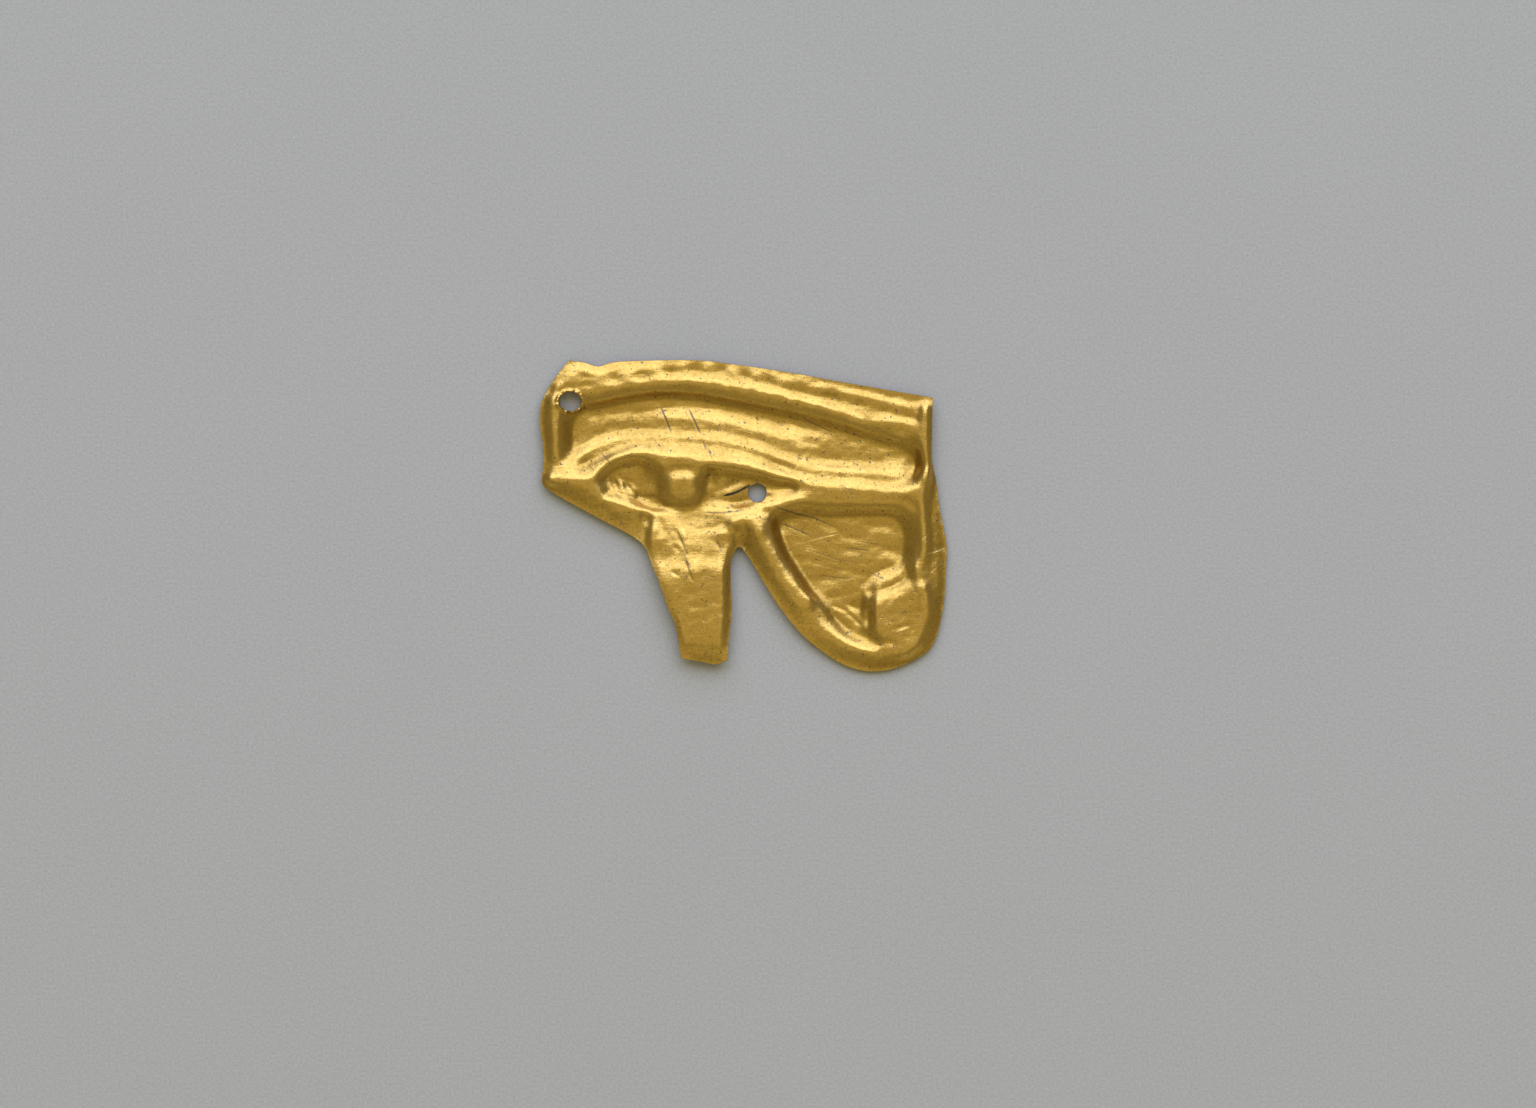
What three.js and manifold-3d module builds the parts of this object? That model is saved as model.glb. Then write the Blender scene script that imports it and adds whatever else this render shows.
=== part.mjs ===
// A wedjat eye amulet, beaten from one piece of thin gold sheet and lying face up.
// Millimetres, +Z up. X runs to the right and Y up the face, and the origin is under its middle.
// The relief is one surface: the sheet is stretched over chased lines, each left at its own height,
// and cut along its edge with a thread hole and an old tear through it.
import * as THREE from "three";
import { mergeVertices } from "three/addons/utils/BufferGeometryUtils.js";
import Module from "manifold-3d";

const wasm = await Module();
wasm.setup();

// Sheet
const WIDTH = 26.3;
const HEIGHT = 20.2;
const SHEET = 0.22; // thickness of the gold
const BEND = 0.15; // how softly the sheet bends over a chased line
const TOOL_RADIUS = 0.1; // tip of the chasing tool
const MARGIN = 0.6; // stretched sheet outside the cut edge
const OVERRUN = 1; // how far a cut runs past the sheet
const FACET_ERROR = 0.04; // a facet strays no further than this from the stretched sheet
const PRESSED = 0.015; // floors are struck this much too deep, then lie flat on the bench

// Blows along the brow
const BLOW_LENGTH = 0.53; // half of the length, along the brow
const BLOW_WIDTH = 0.38; // half of the width
const BLOW_DEPTH = 0.11;

// Heights of the brow above the floors
const BROW_CREST = 0.78; // lower crest of the brow
const BROW_LEFT = 0.77; // left end, behind the crest
const BROW_NEAR = 0.74;
const BROW_TROUGH = 0.58; // bottom of the band behind the crest
const BROW_FAR = 0.6; // right end of the band
const BROW_LIP = 0.56; // lip inside the top edge
const BROW_SHELF = 0.5; // start of the rise at the right
const WALL_BREAK = 0.6; // where the wall below the brow steepens
const WALL_BREAK_FAR = 0.58;

// Heights of the long field, with the ridge and groove under it
const FIELD_FLOOR = 0;
const FIELD_SIDE = 0.04; // break of slope near the left end
const FIELD_END = 0.06; // break of slope at both ends
const FIELD_BREAK = 0.28; // where the field levels out
const RIDGE = 0.54;
const RIDGE_ROOT = 0.42; // left end of the ridge
const RIDGE_LEFT = 0.34;
const RIDGE_FAR = 0.43;
const GROOVE = 0.52;
const GROOVE_LEFT = 0.32;
const GROOVE_FAR = 0.42;
const LID_FOOT = 0.36; // foot of the lid beside the groove
const PIT = 0.05; // right end of the groove

// Heights of the borders and the lids
const BORDER = 0.88; // ridges inside the left and right edges
const ARM_DIP = 0.7; // dip of the left border above the arm of the lid
const CREST = 0.98; // upper end of the right border
const LID = 0.88; // upper lid over the eye
const LID_LEFT = 0.8;
const LID_ARM = 0.86; // arm of the upper lid past the eye
const LID_FAR = 0.72;
const LOWER_LID = 0.76;
const LID_LOW = 0.5; // lower lid over the drop
const LID_END = 0.6; // lower lid right of the drop
const CORNER_RIDGE = 0.74; // ridge at the outer corner of the eye

// Heights of the eye
const EYE_SIDE = 0.25; // floor at both ends
const EYE_DEEP = 0.1; // valley beside the pupil
const EYE_SLOPE = 0.3;
const EYE_SILL = 0.42; // floor under the pupil
const EYE_FOOT = 0.22;
const EYE_TILT = 0.44; // crumpled left part by the lower lid
const EYE_SHELF = 0.84; // arc over the pupil
const EYE_FOLD = 0.68; // fold between the arc and the pupil
const PUPIL = 0.86;
const PUPIL_FOOT = 0.76;
const EYE_RISE = 0.33; // floor under the right part of the upper lid
const TEAR_LIP = 0.36; // curled lip over the tear
const TEAR_FOLD = 0.3; // sheet under the tear

// Heights of the panel, the slanting band and the curl
const PANEL_RIM = 0.64;
const PANEL_FLOOR = 0;
const BAND_START = 0.94; // top of the slanting band, by the eye
const BAND_SHOULDER = 0.84;
const BAND_END = 0.76; // end of the slanting band, round the curl
const BAND_LOW = 0.56; // lower part of the slanting band
const BAND_FOOT = 0.62; // inner side of the slanting band
const TERRACE = 0.34; // step between the band and the floor
const STEP_FOOT = 0.16;
const STEP_LOW = 0.05;
const CURL_STEP = 0.36; // step outside the curl
const CURL_LOW = 0.2; // left end of that step
const CURL_GROOVE = 0.34;
const CURL_RIM = 0.66;
const CURL_TOP = 0.66;
const CURL_SIDE = 0.72;
const FLARE_BREAK = 0.45; // where the right flange turns outwards
const SADDLE = 0.98; // crest over the notch

// Heights of the drop
const DROP_NECK = 0.62;
const DROP_SIDE = 0.78; // left side of the upper drop
const DROP_RISE = 0.64; // where the drop climbs from the lid
const DROP_KNEE = 0.77;
const DROP_TOP = 1.02;
const DROP_END = 0.96;
const DROP_LIP = 0.8; // turned lower end

// Heights of the face along the cut edge
const TOP_EDGE = 0.48;
const CORNER_EDGE = 0.6;
const SIDE_EDGE = 0.3;
const FLARE_EDGE = 0.16;
const BAND_EDGE = 0.5;
const NOTCH_EDGE = 0.46;
const DROP_EDGE = 0.55;
const CHEEK_EDGE = 0.42;
const LEFT_EDGE = 0.45;

// Holes
const THREAD_HOLE_WIDTH = 1.45;
const THREAD_HOLE_HEIGHT = 1.25;
const BURR_WIDTH = 0.16; // torn rim round the thread hole
const BURR_HEIGHT = 0.09;
const TEAR_HOLE_RADIUS = 0.62;
const SLIT_WIDTH = 0.16;

// Grid of the stretched sheet: a power of two of cells each way
const CELLS = 256;
const COARSEST_CELLS = 32;
const SWEEPS = 220;
const HASTE = 1.6; // a free node is moved this many times its way to balance, to settle sooner
const GRIP = 30; // how firmly a line holds the sheet, against the pull of its neighbours
const EDGE_DIVISIONS = 3; // straight cuts between two points of the edge
const CURVE_STEPS = 16; // samples between two points of a chased line
const BELL_REACH = 3; // a bell curve is cut off this many widths from its middle

// Places are shares of WIDTH and HEIGHT from the lower left corner of the face.
// Each list of heights is spread evenly over the points of its line.
const EDGE_SHARES = [
  {
    // along the top, from left to right
    heights: [TOP_EDGE, TOP_EDGE, TOP_EDGE, CORNER_EDGE],
    shares: [
      [0.069, 1], [0.104, 0.994], [0.141, 0.981], [0.175, 0.994], [0.269, 1], [0.393, 1],
      [0.479, 0.987], [0.615, 0.961], [0.738, 0.932], [0.862, 0.904], [0.965, 0.881],
    ],
  },
  {
    // down the right side, round the foot of the panel and up to the notch
    heights: [CORNER_EDGE, SIDE_EDGE, FLARE_EDGE, FLARE_EDGE, FLARE_EDGE, BAND_EDGE, NOTCH_EDGE],
    shares: [
      [0.965, 0.881], [0.963, 0.778], [0.963, 0.682], [0.973, 0.617], [0.983, 0.521],
      [0.993, 0.457], [1, 0.399], [0.998, 0.328], [0.99, 0.199], [0.96, 0.077], [0.886, 0.019],
      [0.832, 0.003], [0.788, 0.006], [0.738, 0.029], [0.689, 0.071], [0.64, 0.125],
      [0.59, 0.206], [0.553, 0.28], [0.521, 0.35], [0.496, 0.399],
    ],
  },
  {
    // over the notch and down the right side of the drop
    heights: [NOTCH_EDGE, DROP_EDGE, DROP_EDGE],
    shares: [
      [0.496, 0.399], [0.486, 0.402], [0.469, 0.36], [0.467, 0.296], [0.469, 0.199],
      [0.462, 0.103], [0.459, 0.039],
    ],
  },
  {
    // across the end of the drop
    heights: [DROP_EDGE],
    shares: [[0.459, 0.039], [0.432, 0.026], [0.393, 0.035], [0.346, 0.045]],
  },
  {
    // up the left side of the drop, under the cheek and up the left side
    heights: [DROP_EDGE, DROP_EDGE, CHEEK_EDGE, CHEEK_EDGE, LEFT_EDGE, LEFT_EDGE, TOP_EDGE],
    shares: [
      [0.346, 0.045], [0.331, 0.151], [0.311, 0.215], [0.294, 0.28], [0.274, 0.344],
      [0.257, 0.399], [0.235, 0.428], [0.146, 0.492], [0.047, 0.563], [0.005, 0.601],
      [0.002, 0.624], [0.007, 0.675], [0.005, 0.73], [-0.002, 0.794], [0, 0.859], [0.012, 0.897],
      [0.037, 0.949], [0.069, 1],
    ],
  },
];

const LINE_SHARES = {
  browEdge: {
    heights: [BROW_CREST],
    shares: [
      [0.042, 0.92], [0.077, 0.916], [0.111, 0.906], [0.138, 0.9], [0.16, 0.913], [0.185, 0.912],
      [0.21, 0.925], [0.235, 0.923], [0.259, 0.933], [0.286, 0.927], [0.311, 0.935],
      [0.341, 0.929], [0.368, 0.934], [0.398, 0.923], [0.422, 0.924], [0.449, 0.911],
      [0.472, 0.913], [0.501, 0.9], [0.526, 0.902], [0.556, 0.887], [0.583, 0.887], [0.61, 0.872],
      [0.637, 0.871], [0.664, 0.854], [0.689, 0.853], [0.719, 0.835], [0.743, 0.834],
      [0.77, 0.817], [0.798, 0.815], [0.825, 0.802], [0.857, 0.804], [0.891, 0.791],
      [0.931, 0.788],
    ],
  },
  wallBreak: {
    heights: [WALL_BREAK, WALL_BREAK, WALL_BREAK, WALL_BREAK_FAR],
    shares: [
      [0.121, 0.875], [0.17, 0.887], [0.244, 0.905], [0.294, 0.908], [0.343, 0.91],
      [0.393, 0.905], [0.442, 0.894], [0.491, 0.883], [0.541, 0.871], [0.59, 0.859],
      [0.64, 0.844], [0.714, 0.82], [0.763, 0.801], [0.812, 0.785], [0.862, 0.772],
      [0.899, 0.759],
    ],
  },
  browLip: {
    heights: [BROW_LEFT, BROW_LIP, BROW_LIP, BROW_LIP, BROW_FAR],
    shares: [
      [0.101, 0.968], [0.146, 0.961], [0.188, 0.971], [0.244, 0.987], [0.343, 0.987],
      [0.43, 0.979], [0.479, 0.973], [0.541, 0.961], [0.64, 0.936], [0.714, 0.908],
      [0.763, 0.894], [0.812, 0.878], [0.862, 0.862], [0.936, 0.846],
    ],
  },
  browTrough: {
    heights: [
      BROW_LEFT, BROW_LEFT, BROW_LEFT, BROW_NEAR, BROW_TROUGH, BROW_TROUGH, BROW_TROUGH,
      BROW_TROUGH, BROW_TROUGH, BROW_TROUGH, BROW_FAR, BROW_FAR, BROW_FAR, BROW_FAR,
    ],
    shares: [
      [0.109, 0.929], [0.146, 0.926], [0.195, 0.942], [0.244, 0.958], [0.343, 0.968],
      [0.442, 0.958], [0.491, 0.949], [0.541, 0.936], [0.64, 0.899], [0.714, 0.868],
      [0.763, 0.849], [0.812, 0.836], [0.862, 0.823], [0.923, 0.814],
    ],
  },
  browShelf: {
    heights: [BROW_SHELF],
    shares: [
      [0.669, 0.944], [0.726, 0.924], [0.763, 0.915], [0.812, 0.902], [0.862, 0.887],
      [0.941, 0.868],
    ],
  },
  fieldTop: {
    heights: [FIELD_FLOOR],
    shares: [
      [0.079, 0.785], [0.089, 0.814], [0.109, 0.833], [0.146, 0.846], [0.195, 0.862],
      [0.244, 0.873], [0.294, 0.879], [0.343, 0.879], [0.393, 0.871], [0.442, 0.86],
      [0.491, 0.847], [0.541, 0.833], [0.59, 0.82], [0.64, 0.807], [0.714, 0.783], [0.763, 0.765],
      [0.812, 0.743], [0.862, 0.723], [0.894, 0.707],
    ],
  },
  fieldStart: {
    heights: [FIELD_FLOOR],
    shares: [
      [0.158, 0.839], [0.244, 0.847], [0.343, 0.854], [0.417, 0.85], [0.491, 0.839],
      [0.541, 0.822], [0.59, 0.807], [0.64, 0.793], [0.677, 0.778],
    ],
  },
  fieldLeft: {
    heights: [FIELD_FLOOR],
    shares: [[0.079, 0.785], [0.081, 0.746], [0.081, 0.723]],
  },
  fieldBreak: {
    heights: [
      FIELD_END, FIELD_END, FIELD_SIDE, FIELD_BREAK, FIELD_BREAK, FIELD_BREAK, FIELD_BREAK,
      FIELD_END, FIELD_END, FIELD_END,
    ],
    shares: [
      [0.121, 0.788], [0.183, 0.804], [0.244, 0.814], [0.343, 0.814], [0.442, 0.801],
      [0.541, 0.775], [0.64, 0.743], [0.714, 0.727], [0.775, 0.711], [0.862, 0.698],
    ],
  },
  fieldLow: {
    heights: [
      FIELD_END, FIELD_END, FIELD_END, FIELD_SIDE, FIELD_BREAK, FIELD_BREAK, FIELD_BREAK,
      FIELD_BREAK, FIELD_BREAK, FIELD_BREAK, FIELD_END, FIELD_END, FIELD_END, FIELD_END,
    ],
    shares: [
      [0.089, 0.717], [0.116, 0.743], [0.146, 0.764], [0.244, 0.778], [0.343, 0.777],
      [0.442, 0.768], [0.504, 0.752], [0.541, 0.74], [0.59, 0.714], [0.64, 0.691], [0.701, 0.678],
      [0.763, 0.672], [0.825, 0.675], [0.862, 0.688],
    ],
  },
  ridge: {
    heights: [
      RIDGE_ROOT, RIDGE_ROOT, RIDGE_LEFT, RIDGE_LEFT, RIDGE_LEFT, RIDGE_ROOT, RIDGE, RIDGE, RIDGE,
      RIDGE, RIDGE_FAR, RIDGE_FAR, RIDGE_FAR, RIDGE_FAR, RIDGE_FAR, RIDGE_FAR,
    ],
    shares: [
      [0.089, 0.688], [0.116, 0.714], [0.146, 0.735], [0.195, 0.749], [0.244, 0.754],
      [0.343, 0.751], [0.442, 0.743], [0.504, 0.725], [0.541, 0.711], [0.59, 0.682],
      [0.64, 0.659], [0.701, 0.65], [0.763, 0.646], [0.825, 0.638], [0.862, 0.627],
      [0.894, 0.622],
    ],
  },
  groove: {
    heights: [
      GROOVE_LEFT, GROOVE_LEFT, GROOVE_LEFT, GROOVE_LEFT, GROOVE_FAR, GROOVE, GROOVE, GROOVE,
      GROOVE_FAR, GROOVE_FAR, GROOVE_FAR, GROOVE_FAR, GROOVE_FAR, GROOVE_FAR, PIT, PIT,
    ],
    shares: [
      [0.111, 0.678], [0.146, 0.717], [0.195, 0.74], [0.244, 0.748], [0.343, 0.741],
      [0.442, 0.73], [0.504, 0.711], [0.541, 0.696], [0.59, 0.666], [0.64, 0.643], [0.701, 0.63],
      [0.763, 0.625], [0.825, 0.617], [0.869, 0.611], [0.919, 0.65], [0.919, 0.698],
    ],
  },
  lidStart: {
    heights: [GROOVE_LEFT, GROOVE_LEFT, LID_FOOT, LID_FOOT],
    shares: [[0.111, 0.65], [0.146, 0.69], [0.178, 0.715], [0.205, 0.728]],
  },
  leftBorder: {
    heights: [BORDER, BORDER, ARM_DIP],
    shares: [[0.03, 0.875], [0.035, 0.826], [0.037, 0.762], [0.037, 0.707], [0.04, 0.662]],
  },
  arm: {
    heights: [BORDER, LID],
    shares: [[0.02, 0.617], [0.047, 0.617], [0.081, 0.616], [0.121, 0.624]],
  },
  upperLid: {
    heights: [
      LID, LID_LEFT, LID_LEFT, LID_LEFT, LID_LEFT, LID_LEFT, LID, LID, LID, LID, LID, LID_ARM,
      LID_FAR, LID_FAR, LID_FAR, LID_FAR, LID_FAR, LID_ARM, LID_ARM, CREST, CREST, CREST, CREST,
    ],
    shares: [
      [0.121, 0.624], [0.146, 0.653], [0.175, 0.682], [0.215, 0.698], [0.244, 0.701],
      [0.281, 0.696], [0.343, 0.683], [0.393, 0.67], [0.442, 0.669], [0.491, 0.661],
      [0.541, 0.646], [0.59, 0.627], [0.64, 0.611], [0.701, 0.596], [0.763, 0.59], [0.812, 0.584],
      [0.862, 0.58], [0.906, 0.58], [0.936, 0.595], [0.951, 0.627], [0.956, 0.675],
      [0.953, 0.762], [0.951, 0.842],
    ],
  },
  lowerLid: {
    heights: [
      LID_ARM, LOWER_LID, LOWER_LID, LID_LOW, LID_LOW, LID_LOW, LID_LOW, LID_END, CORNER_RIDGE,
      CORNER_RIDGE, CORNER_RIDGE, CORNER_RIDGE, CORNER_RIDGE,
    ],
    shares: [
      [0.111, 0.614], [0.146, 0.569], [0.195, 0.542], [0.244, 0.524], [0.281, 0.511],
      [0.343, 0.505], [0.393, 0.508], [0.442, 0.521], [0.491, 0.524], [0.541, 0.527],
      [0.59, 0.537], [0.64, 0.553], [0.672, 0.563],
    ],
  },
  eyeFloorLeft: {
    closed: true,
    heights: [EYE_SIDE, EYE_SIDE, EYE_SIDE, EYE_FOOT, EYE_DEEP, EYE_DEEP, EYE_DEEP, EYE_FOOT],
    shares: [
      [0.163, 0.621], [0.19, 0.65], [0.23, 0.666], [0.259, 0.659], [0.267, 0.605], [0.262, 0.563],
      [0.237, 0.585], [0.2, 0.601],
    ],
  },
  eyeTilt: {
    heights: [EYE_TILT, EYE_TILT, EYE_SLOPE, EYE_SLOPE],
    shares: [[0.173, 0.582], [0.205, 0.559], [0.24, 0.547], [0.269, 0.532]],
  },
  eyeShelf: {
    heights: [EYE_SHELF],
    shares: [[0.306, 0.67], [0.331, 0.675], [0.363, 0.675], [0.383, 0.666]],
  },
  eyeFold: {
    heights: [EYE_FOLD],
    shares: [[0.316, 0.654], [0.343, 0.658], [0.37, 0.654]],
  },
  pupil: {
    closed: true,
    heights: [PUPIL, PUPIL, PUPIL_FOOT, PUPIL_FOOT],
    shares: [
      [0.328, 0.614], [0.348, 0.617], [0.368, 0.614], [0.37, 0.572], [0.351, 0.559],
      [0.331, 0.563],
    ],
  },
  eyeFloorRight: {
    heights: [EYE_RISE, EYE_RISE, EYE_RISE, EYE_SLOPE, EYE_SIDE],
    shares: [[0.435, 0.621], [0.452, 0.629], [0.504, 0.617], [0.56, 0.598], [0.615, 0.595]],
  },
  eyeFloorMiddle: {
    heights: [EYE_SIDE],
    shares: [[0.442, 0.595], [0.467, 0.601], [0.499, 0.614]],
  },
  eyeFloorLow: {
    heights: [EYE_DEEP, EYE_SLOPE, EYE_SILL, EYE_SILL, EYE_SILL, EYE_SIDE, EYE_FOOT, EYE_DEEP],
    shares: [
      [0.264, 0.556], [0.294, 0.534], [0.323, 0.527], [0.36, 0.527], [0.393, 0.534],
      [0.42, 0.556], [0.432, 0.595], [0.42, 0.637],
    ],
  },
  eyeFloorEnd: {
    heights: [EYE_SIDE, EYE_SIDE, EYE_SIDE],
    shares: [[0.432, 0.559], [0.452, 0.543], [0.486, 0.537]],
  },
  tearLip: {
    heights: [EYE_SIDE, TEAR_LIP, TEAR_LIP, TEAR_LIP, EYE_SLOPE],
    shares: [[0.447, 0.572], [0.479, 0.59], [0.511, 0.611], [0.541, 0.614], [0.56, 0.598]],
  },
  tearFold: {
    heights: [EYE_SIDE, TEAR_FOLD, TEAR_FOLD],
    shares: [[0.457, 0.559], [0.491, 0.563], [0.516, 0.556]],
  },
  panelRim: {
    heights: [PANEL_RIM],
    shares: [
      [0.553, 0.514], [0.578, 0.537], [0.64, 0.547], [0.714, 0.547], [0.812, 0.543],
      [0.886, 0.543], [0.921, 0.527], [0.933, 0.489], [0.936, 0.408], [0.933, 0.344],
      [0.936, 0.302],
    ],
  },
  panelFloor: {
    closed: true,
    heights: [PANEL_FLOOR],
    shares: [
      [0.595, 0.476], [0.615, 0.492], [0.714, 0.495], [0.837, 0.498], [0.874, 0.489],
      [0.886, 0.457], [0.889, 0.408], [0.881, 0.357], [0.847, 0.331], [0.812, 0.312],
      [0.785, 0.283], [0.78, 0.248], [0.798, 0.212], [0.807, 0.17], [0.79, 0.193], [0.765, 0.222],
      [0.728, 0.219], [0.696, 0.235], [0.669, 0.27], [0.642, 0.328], [0.61, 0.392],
      [0.598, 0.434],
    ],
  },
  bandCrest: {
    heights: [
      BAND_START, BAND_START, BAND_START, BAND_SHOULDER, BAND_SHOULDER, BAND_END, BAND_LOW,
      BAND_LOW, BAND_LOW, BAND_LOW, BAND_FOOT, BAND_END,
    ],
    shares: [
      [0.543, 0.498], [0.546, 0.447], [0.558, 0.392], [0.583, 0.334], [0.61, 0.277],
      [0.64, 0.219], [0.674, 0.167], [0.714, 0.122], [0.763, 0.087], [0.812, 0.068],
      [0.869, 0.061], [0.923, 0.087],
    ],
  },
  bandShoulder: {
    heights: [BAND_SHOULDER, BAND_SHOULDER, BAND_SHOULDER, BAND_END, BAND_END, BAND_FOOT],
    shares: [
      [0.56, 0.482], [0.565, 0.434], [0.58, 0.386], [0.605, 0.331], [0.632, 0.277],
      [0.657, 0.232],
    ],
  },
  stepTop: {
    heights: [STEP_LOW, STEP_LOW, STEP_LOW, STEP_LOW, STEP_FOOT, TERRACE],
    shares: [
      [0.684, 0.206], [0.714, 0.183], [0.743, 0.161], [0.77, 0.125], [0.798, 0.103],
      [0.83, 0.087],
    ],
  },
  curlRim: {
    heights: [BAND_FOOT, CURL_RIM, CURL_RIM, CURL_RIM],
    shares: [
      [0.928, 0.305], [0.909, 0.285], [0.886, 0.27], [0.862, 0.256], [0.837, 0.238],
      [0.826, 0.215], [0.823, 0.18], [0.832, 0.135], [0.854, 0.1],
    ],
  },
  curlTop: {
    closed: true,
    heights: [CURL_TOP],
    shares: [
      [0.916, 0.222], [0.886, 0.209], [0.869, 0.183], [0.874, 0.141], [0.899, 0.122],
      [0.921, 0.151],
    ],
  },
  curlStep: {
    heights: [CURL_STEP, CURL_STEP, CURL_STEP, CURL_LOW, CURL_LOW],
    shares: [[0.894, 0.331], [0.874, 0.317], [0.847, 0.301], [0.82, 0.283], [0.807, 0.257]],
  },
  curlGroove: {
    heights: [CURL_GROOVE],
    shares: [[0.901, 0.315], [0.879, 0.296], [0.852, 0.28], [0.827, 0.26]],
  },
  rightBorder: {
    heights: [
      BORDER, BORDER, BORDER, BORDER, BORDER, BORDER, BORDER, BORDER, CURL_SIDE, CURL_SIDE,
      BAND_END,
    ],
    shares: [
      [0.941, 0.859], [0.943, 0.778], [0.943, 0.682], [0.938, 0.585], [0.938, 0.489],
      [0.941, 0.408], [0.933, 0.35], [0.931, 0.302], [0.948, 0.238], [0.951, 0.174],
      [0.928, 0.103], [0.894, 0.064],
    ],
  },
  rightFlare: {
    heights: [FLARE_BREAK],
    shares: [
      [0.963, 0.553], [0.968, 0.457], [0.97, 0.36], [0.975, 0.264], [0.97, 0.183], [0.946, 0.103],
    ],
  },
  dropLeft: {
    heights: [DROP_NECK, DROP_SIDE, DROP_SIDE, DROP_TOP, DROP_TOP, DROP_TOP, DROP_END],
    shares: [
      [0.281, 0.495], [0.264, 0.441], [0.277, 0.373], [0.299, 0.302], [0.326, 0.215],
      [0.346, 0.141], [0.356, 0.084],
    ],
  },
  dropRight: {
    heights: [DROP_RISE, DROP_KNEE, DROP_TOP, DROP_TOP, DROP_TOP, DROP_END],
    shares: [
      [0.469, 0.457], [0.457, 0.386], [0.449, 0.318], [0.447, 0.232], [0.444, 0.135],
      [0.44, 0.084],
    ],
  },
  dropShoulder: {
    heights: [DROP_RISE],
    shares: [[0.299, 0.46], [0.343, 0.453], [0.393, 0.457], [0.435, 0.466]],
  },
  dropKnee: {
    heights: [DROP_KNEE],
    shares: [[0.314, 0.373], [0.368, 0.386], [0.43, 0.386]],
  },
  dropMiddle: {
    heights: [DROP_TOP, DROP_TOP, DROP_END],
    shares: [[0.368, 0.315], [0.38, 0.232], [0.398, 0.084]],
  },
  dropLip: {
    heights: [DROP_LIP],
    shares: [[0.358, 0.068], [0.398, 0.063], [0.44, 0.064]],
  },
  saddle: {
    heights: [SADDLE],
    shares: [[0.474, 0.476], [0.504, 0.492], [0.533, 0.486]],
  },
};

const THREAD_HOLE_SHARES = [0.072, 0.869];
const TEAR_HOLE_SHARES = [0.533, 0.576];
const SLIT_SHARES = [[0.447, 0.566], [0.479, 0.577], [0.511, 0.598]];
const SLIT_TAPER_SHARE = 0.17; // part of the slit in which it opens to its full width
const BLOW_SHARES = [
  [0.183, 0.958], [0.249, 0.966], [0.316, 0.969], [0.38, 0.969], [0.442, 0.965],
  [0.499, 0.952], [0.558, 0.932], [0.635, 0.908], [0.711, 0.883], [0.783, 0.859],
  [0.847, 0.839], [0.904, 0.822],
];

// A chased line as a smooth curve in space: its places in plan, its height along Z.
function chasedCurve({ shares, heights, closed = false }) {
  const points = shares.map(([across, up], index) => {
    const along = (index / (shares.length - 1)) * (heights.length - 1);
    const before = Math.floor(along);
    const after = Math.min(before + 1, heights.length - 1);
    const height = THREE.MathUtils.lerp(heights[before], heights[after], along - before);
    return new THREE.Vector3(across * WIDTH, up * HEIGHT, height);
  });
  return new THREE.CatmullRomCurve3(points, closed, "centripetal");
}

const edgeCurves = EDGE_SHARES.map(chasedCurve);
const chasedCurves = [...Object.values(LINE_SHARES).map(chasedCurve), ...edgeCurves];

// The burr stands round the thread hole, on the face that is there before the hole is pierced.
function burrCurve() {
  const [across, up] = THREAD_HOLE_SHARES;
  const ring = new THREE.EllipseCurve(
    across * WIDTH,
    up * HEIGHT,
    THREAD_HOLE_WIDTH / 2 + BURR_WIDTH / 2,
    THREAD_HOLE_HEIGHT / 2 + BURR_WIDTH / 2,
  );
  const points = ring
    .getPoints(CURVE_STEPS)
    .slice(1)
    .map((point) => new THREE.Vector3(point.x, point.y, BORDER + BURR_HEIGHT));
  return new THREE.CatmullRomCurve3(points, true, "centripetal");
}
chasedCurves.push(burrCurve());

// A grid of heights over the whole sheet, cells by cells in number.
function makeGrid(cells) {
  return {
    cells,
    side: cells + 1,
    stepX: (WIDTH + 2 * MARGIN) / cells,
    stepY: (HEIGHT + 2 * MARGIN) / cells,
    heights: new Float64Array((cells + 1) ** 2).fill(BORDER),
  };
}

// How firmly the lines hold each node, and at which height: full grip under the tool's tip,
// falling away beside it as a bell curve.
function gripNodes(grid) {
  const { side, stepX, stepY } = grid;
  const grip = new Float64Array(side ** 2);
  const pull = new Float64Array(side ** 2);
  const radius = Math.max(TOOL_RADIUS, stepX);
  const reach = Math.ceil((2 * radius) / Math.min(stepX, stepY));
  for (const curve of chasedCurves) {
    const nearest = new Map();
    for (const point of curve.getPoints(curve.points.length * CURVE_STEPS)) {
      const column = Math.round((point.x + MARGIN) / stepX);
      const row = Math.round((point.y + MARGIN) / stepY);
      for (let j = Math.max(row - reach, 0); j <= Math.min(row + reach, grid.cells); j++) {
        for (let i = Math.max(column - reach, 0); i <= Math.min(column + reach, grid.cells); i++) {
          const away = Math.hypot(i * stepX - MARGIN - point.x, j * stepY - MARGIN - point.y);
          const node = j * side + i;
          if (away < (nearest.get(node)?.away ?? Infinity)) {
            nearest.set(node, { away, height: point.z });
          }
        }
      }
    }
    for (const [node, { away, height }] of nearest) {
      const hold = GRIP * Math.exp(-((away / radius) ** 2));
      grip[node] += hold;
      pull[node] += hold * height;
    }
  }
  return { grip, pull };
}

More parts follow.
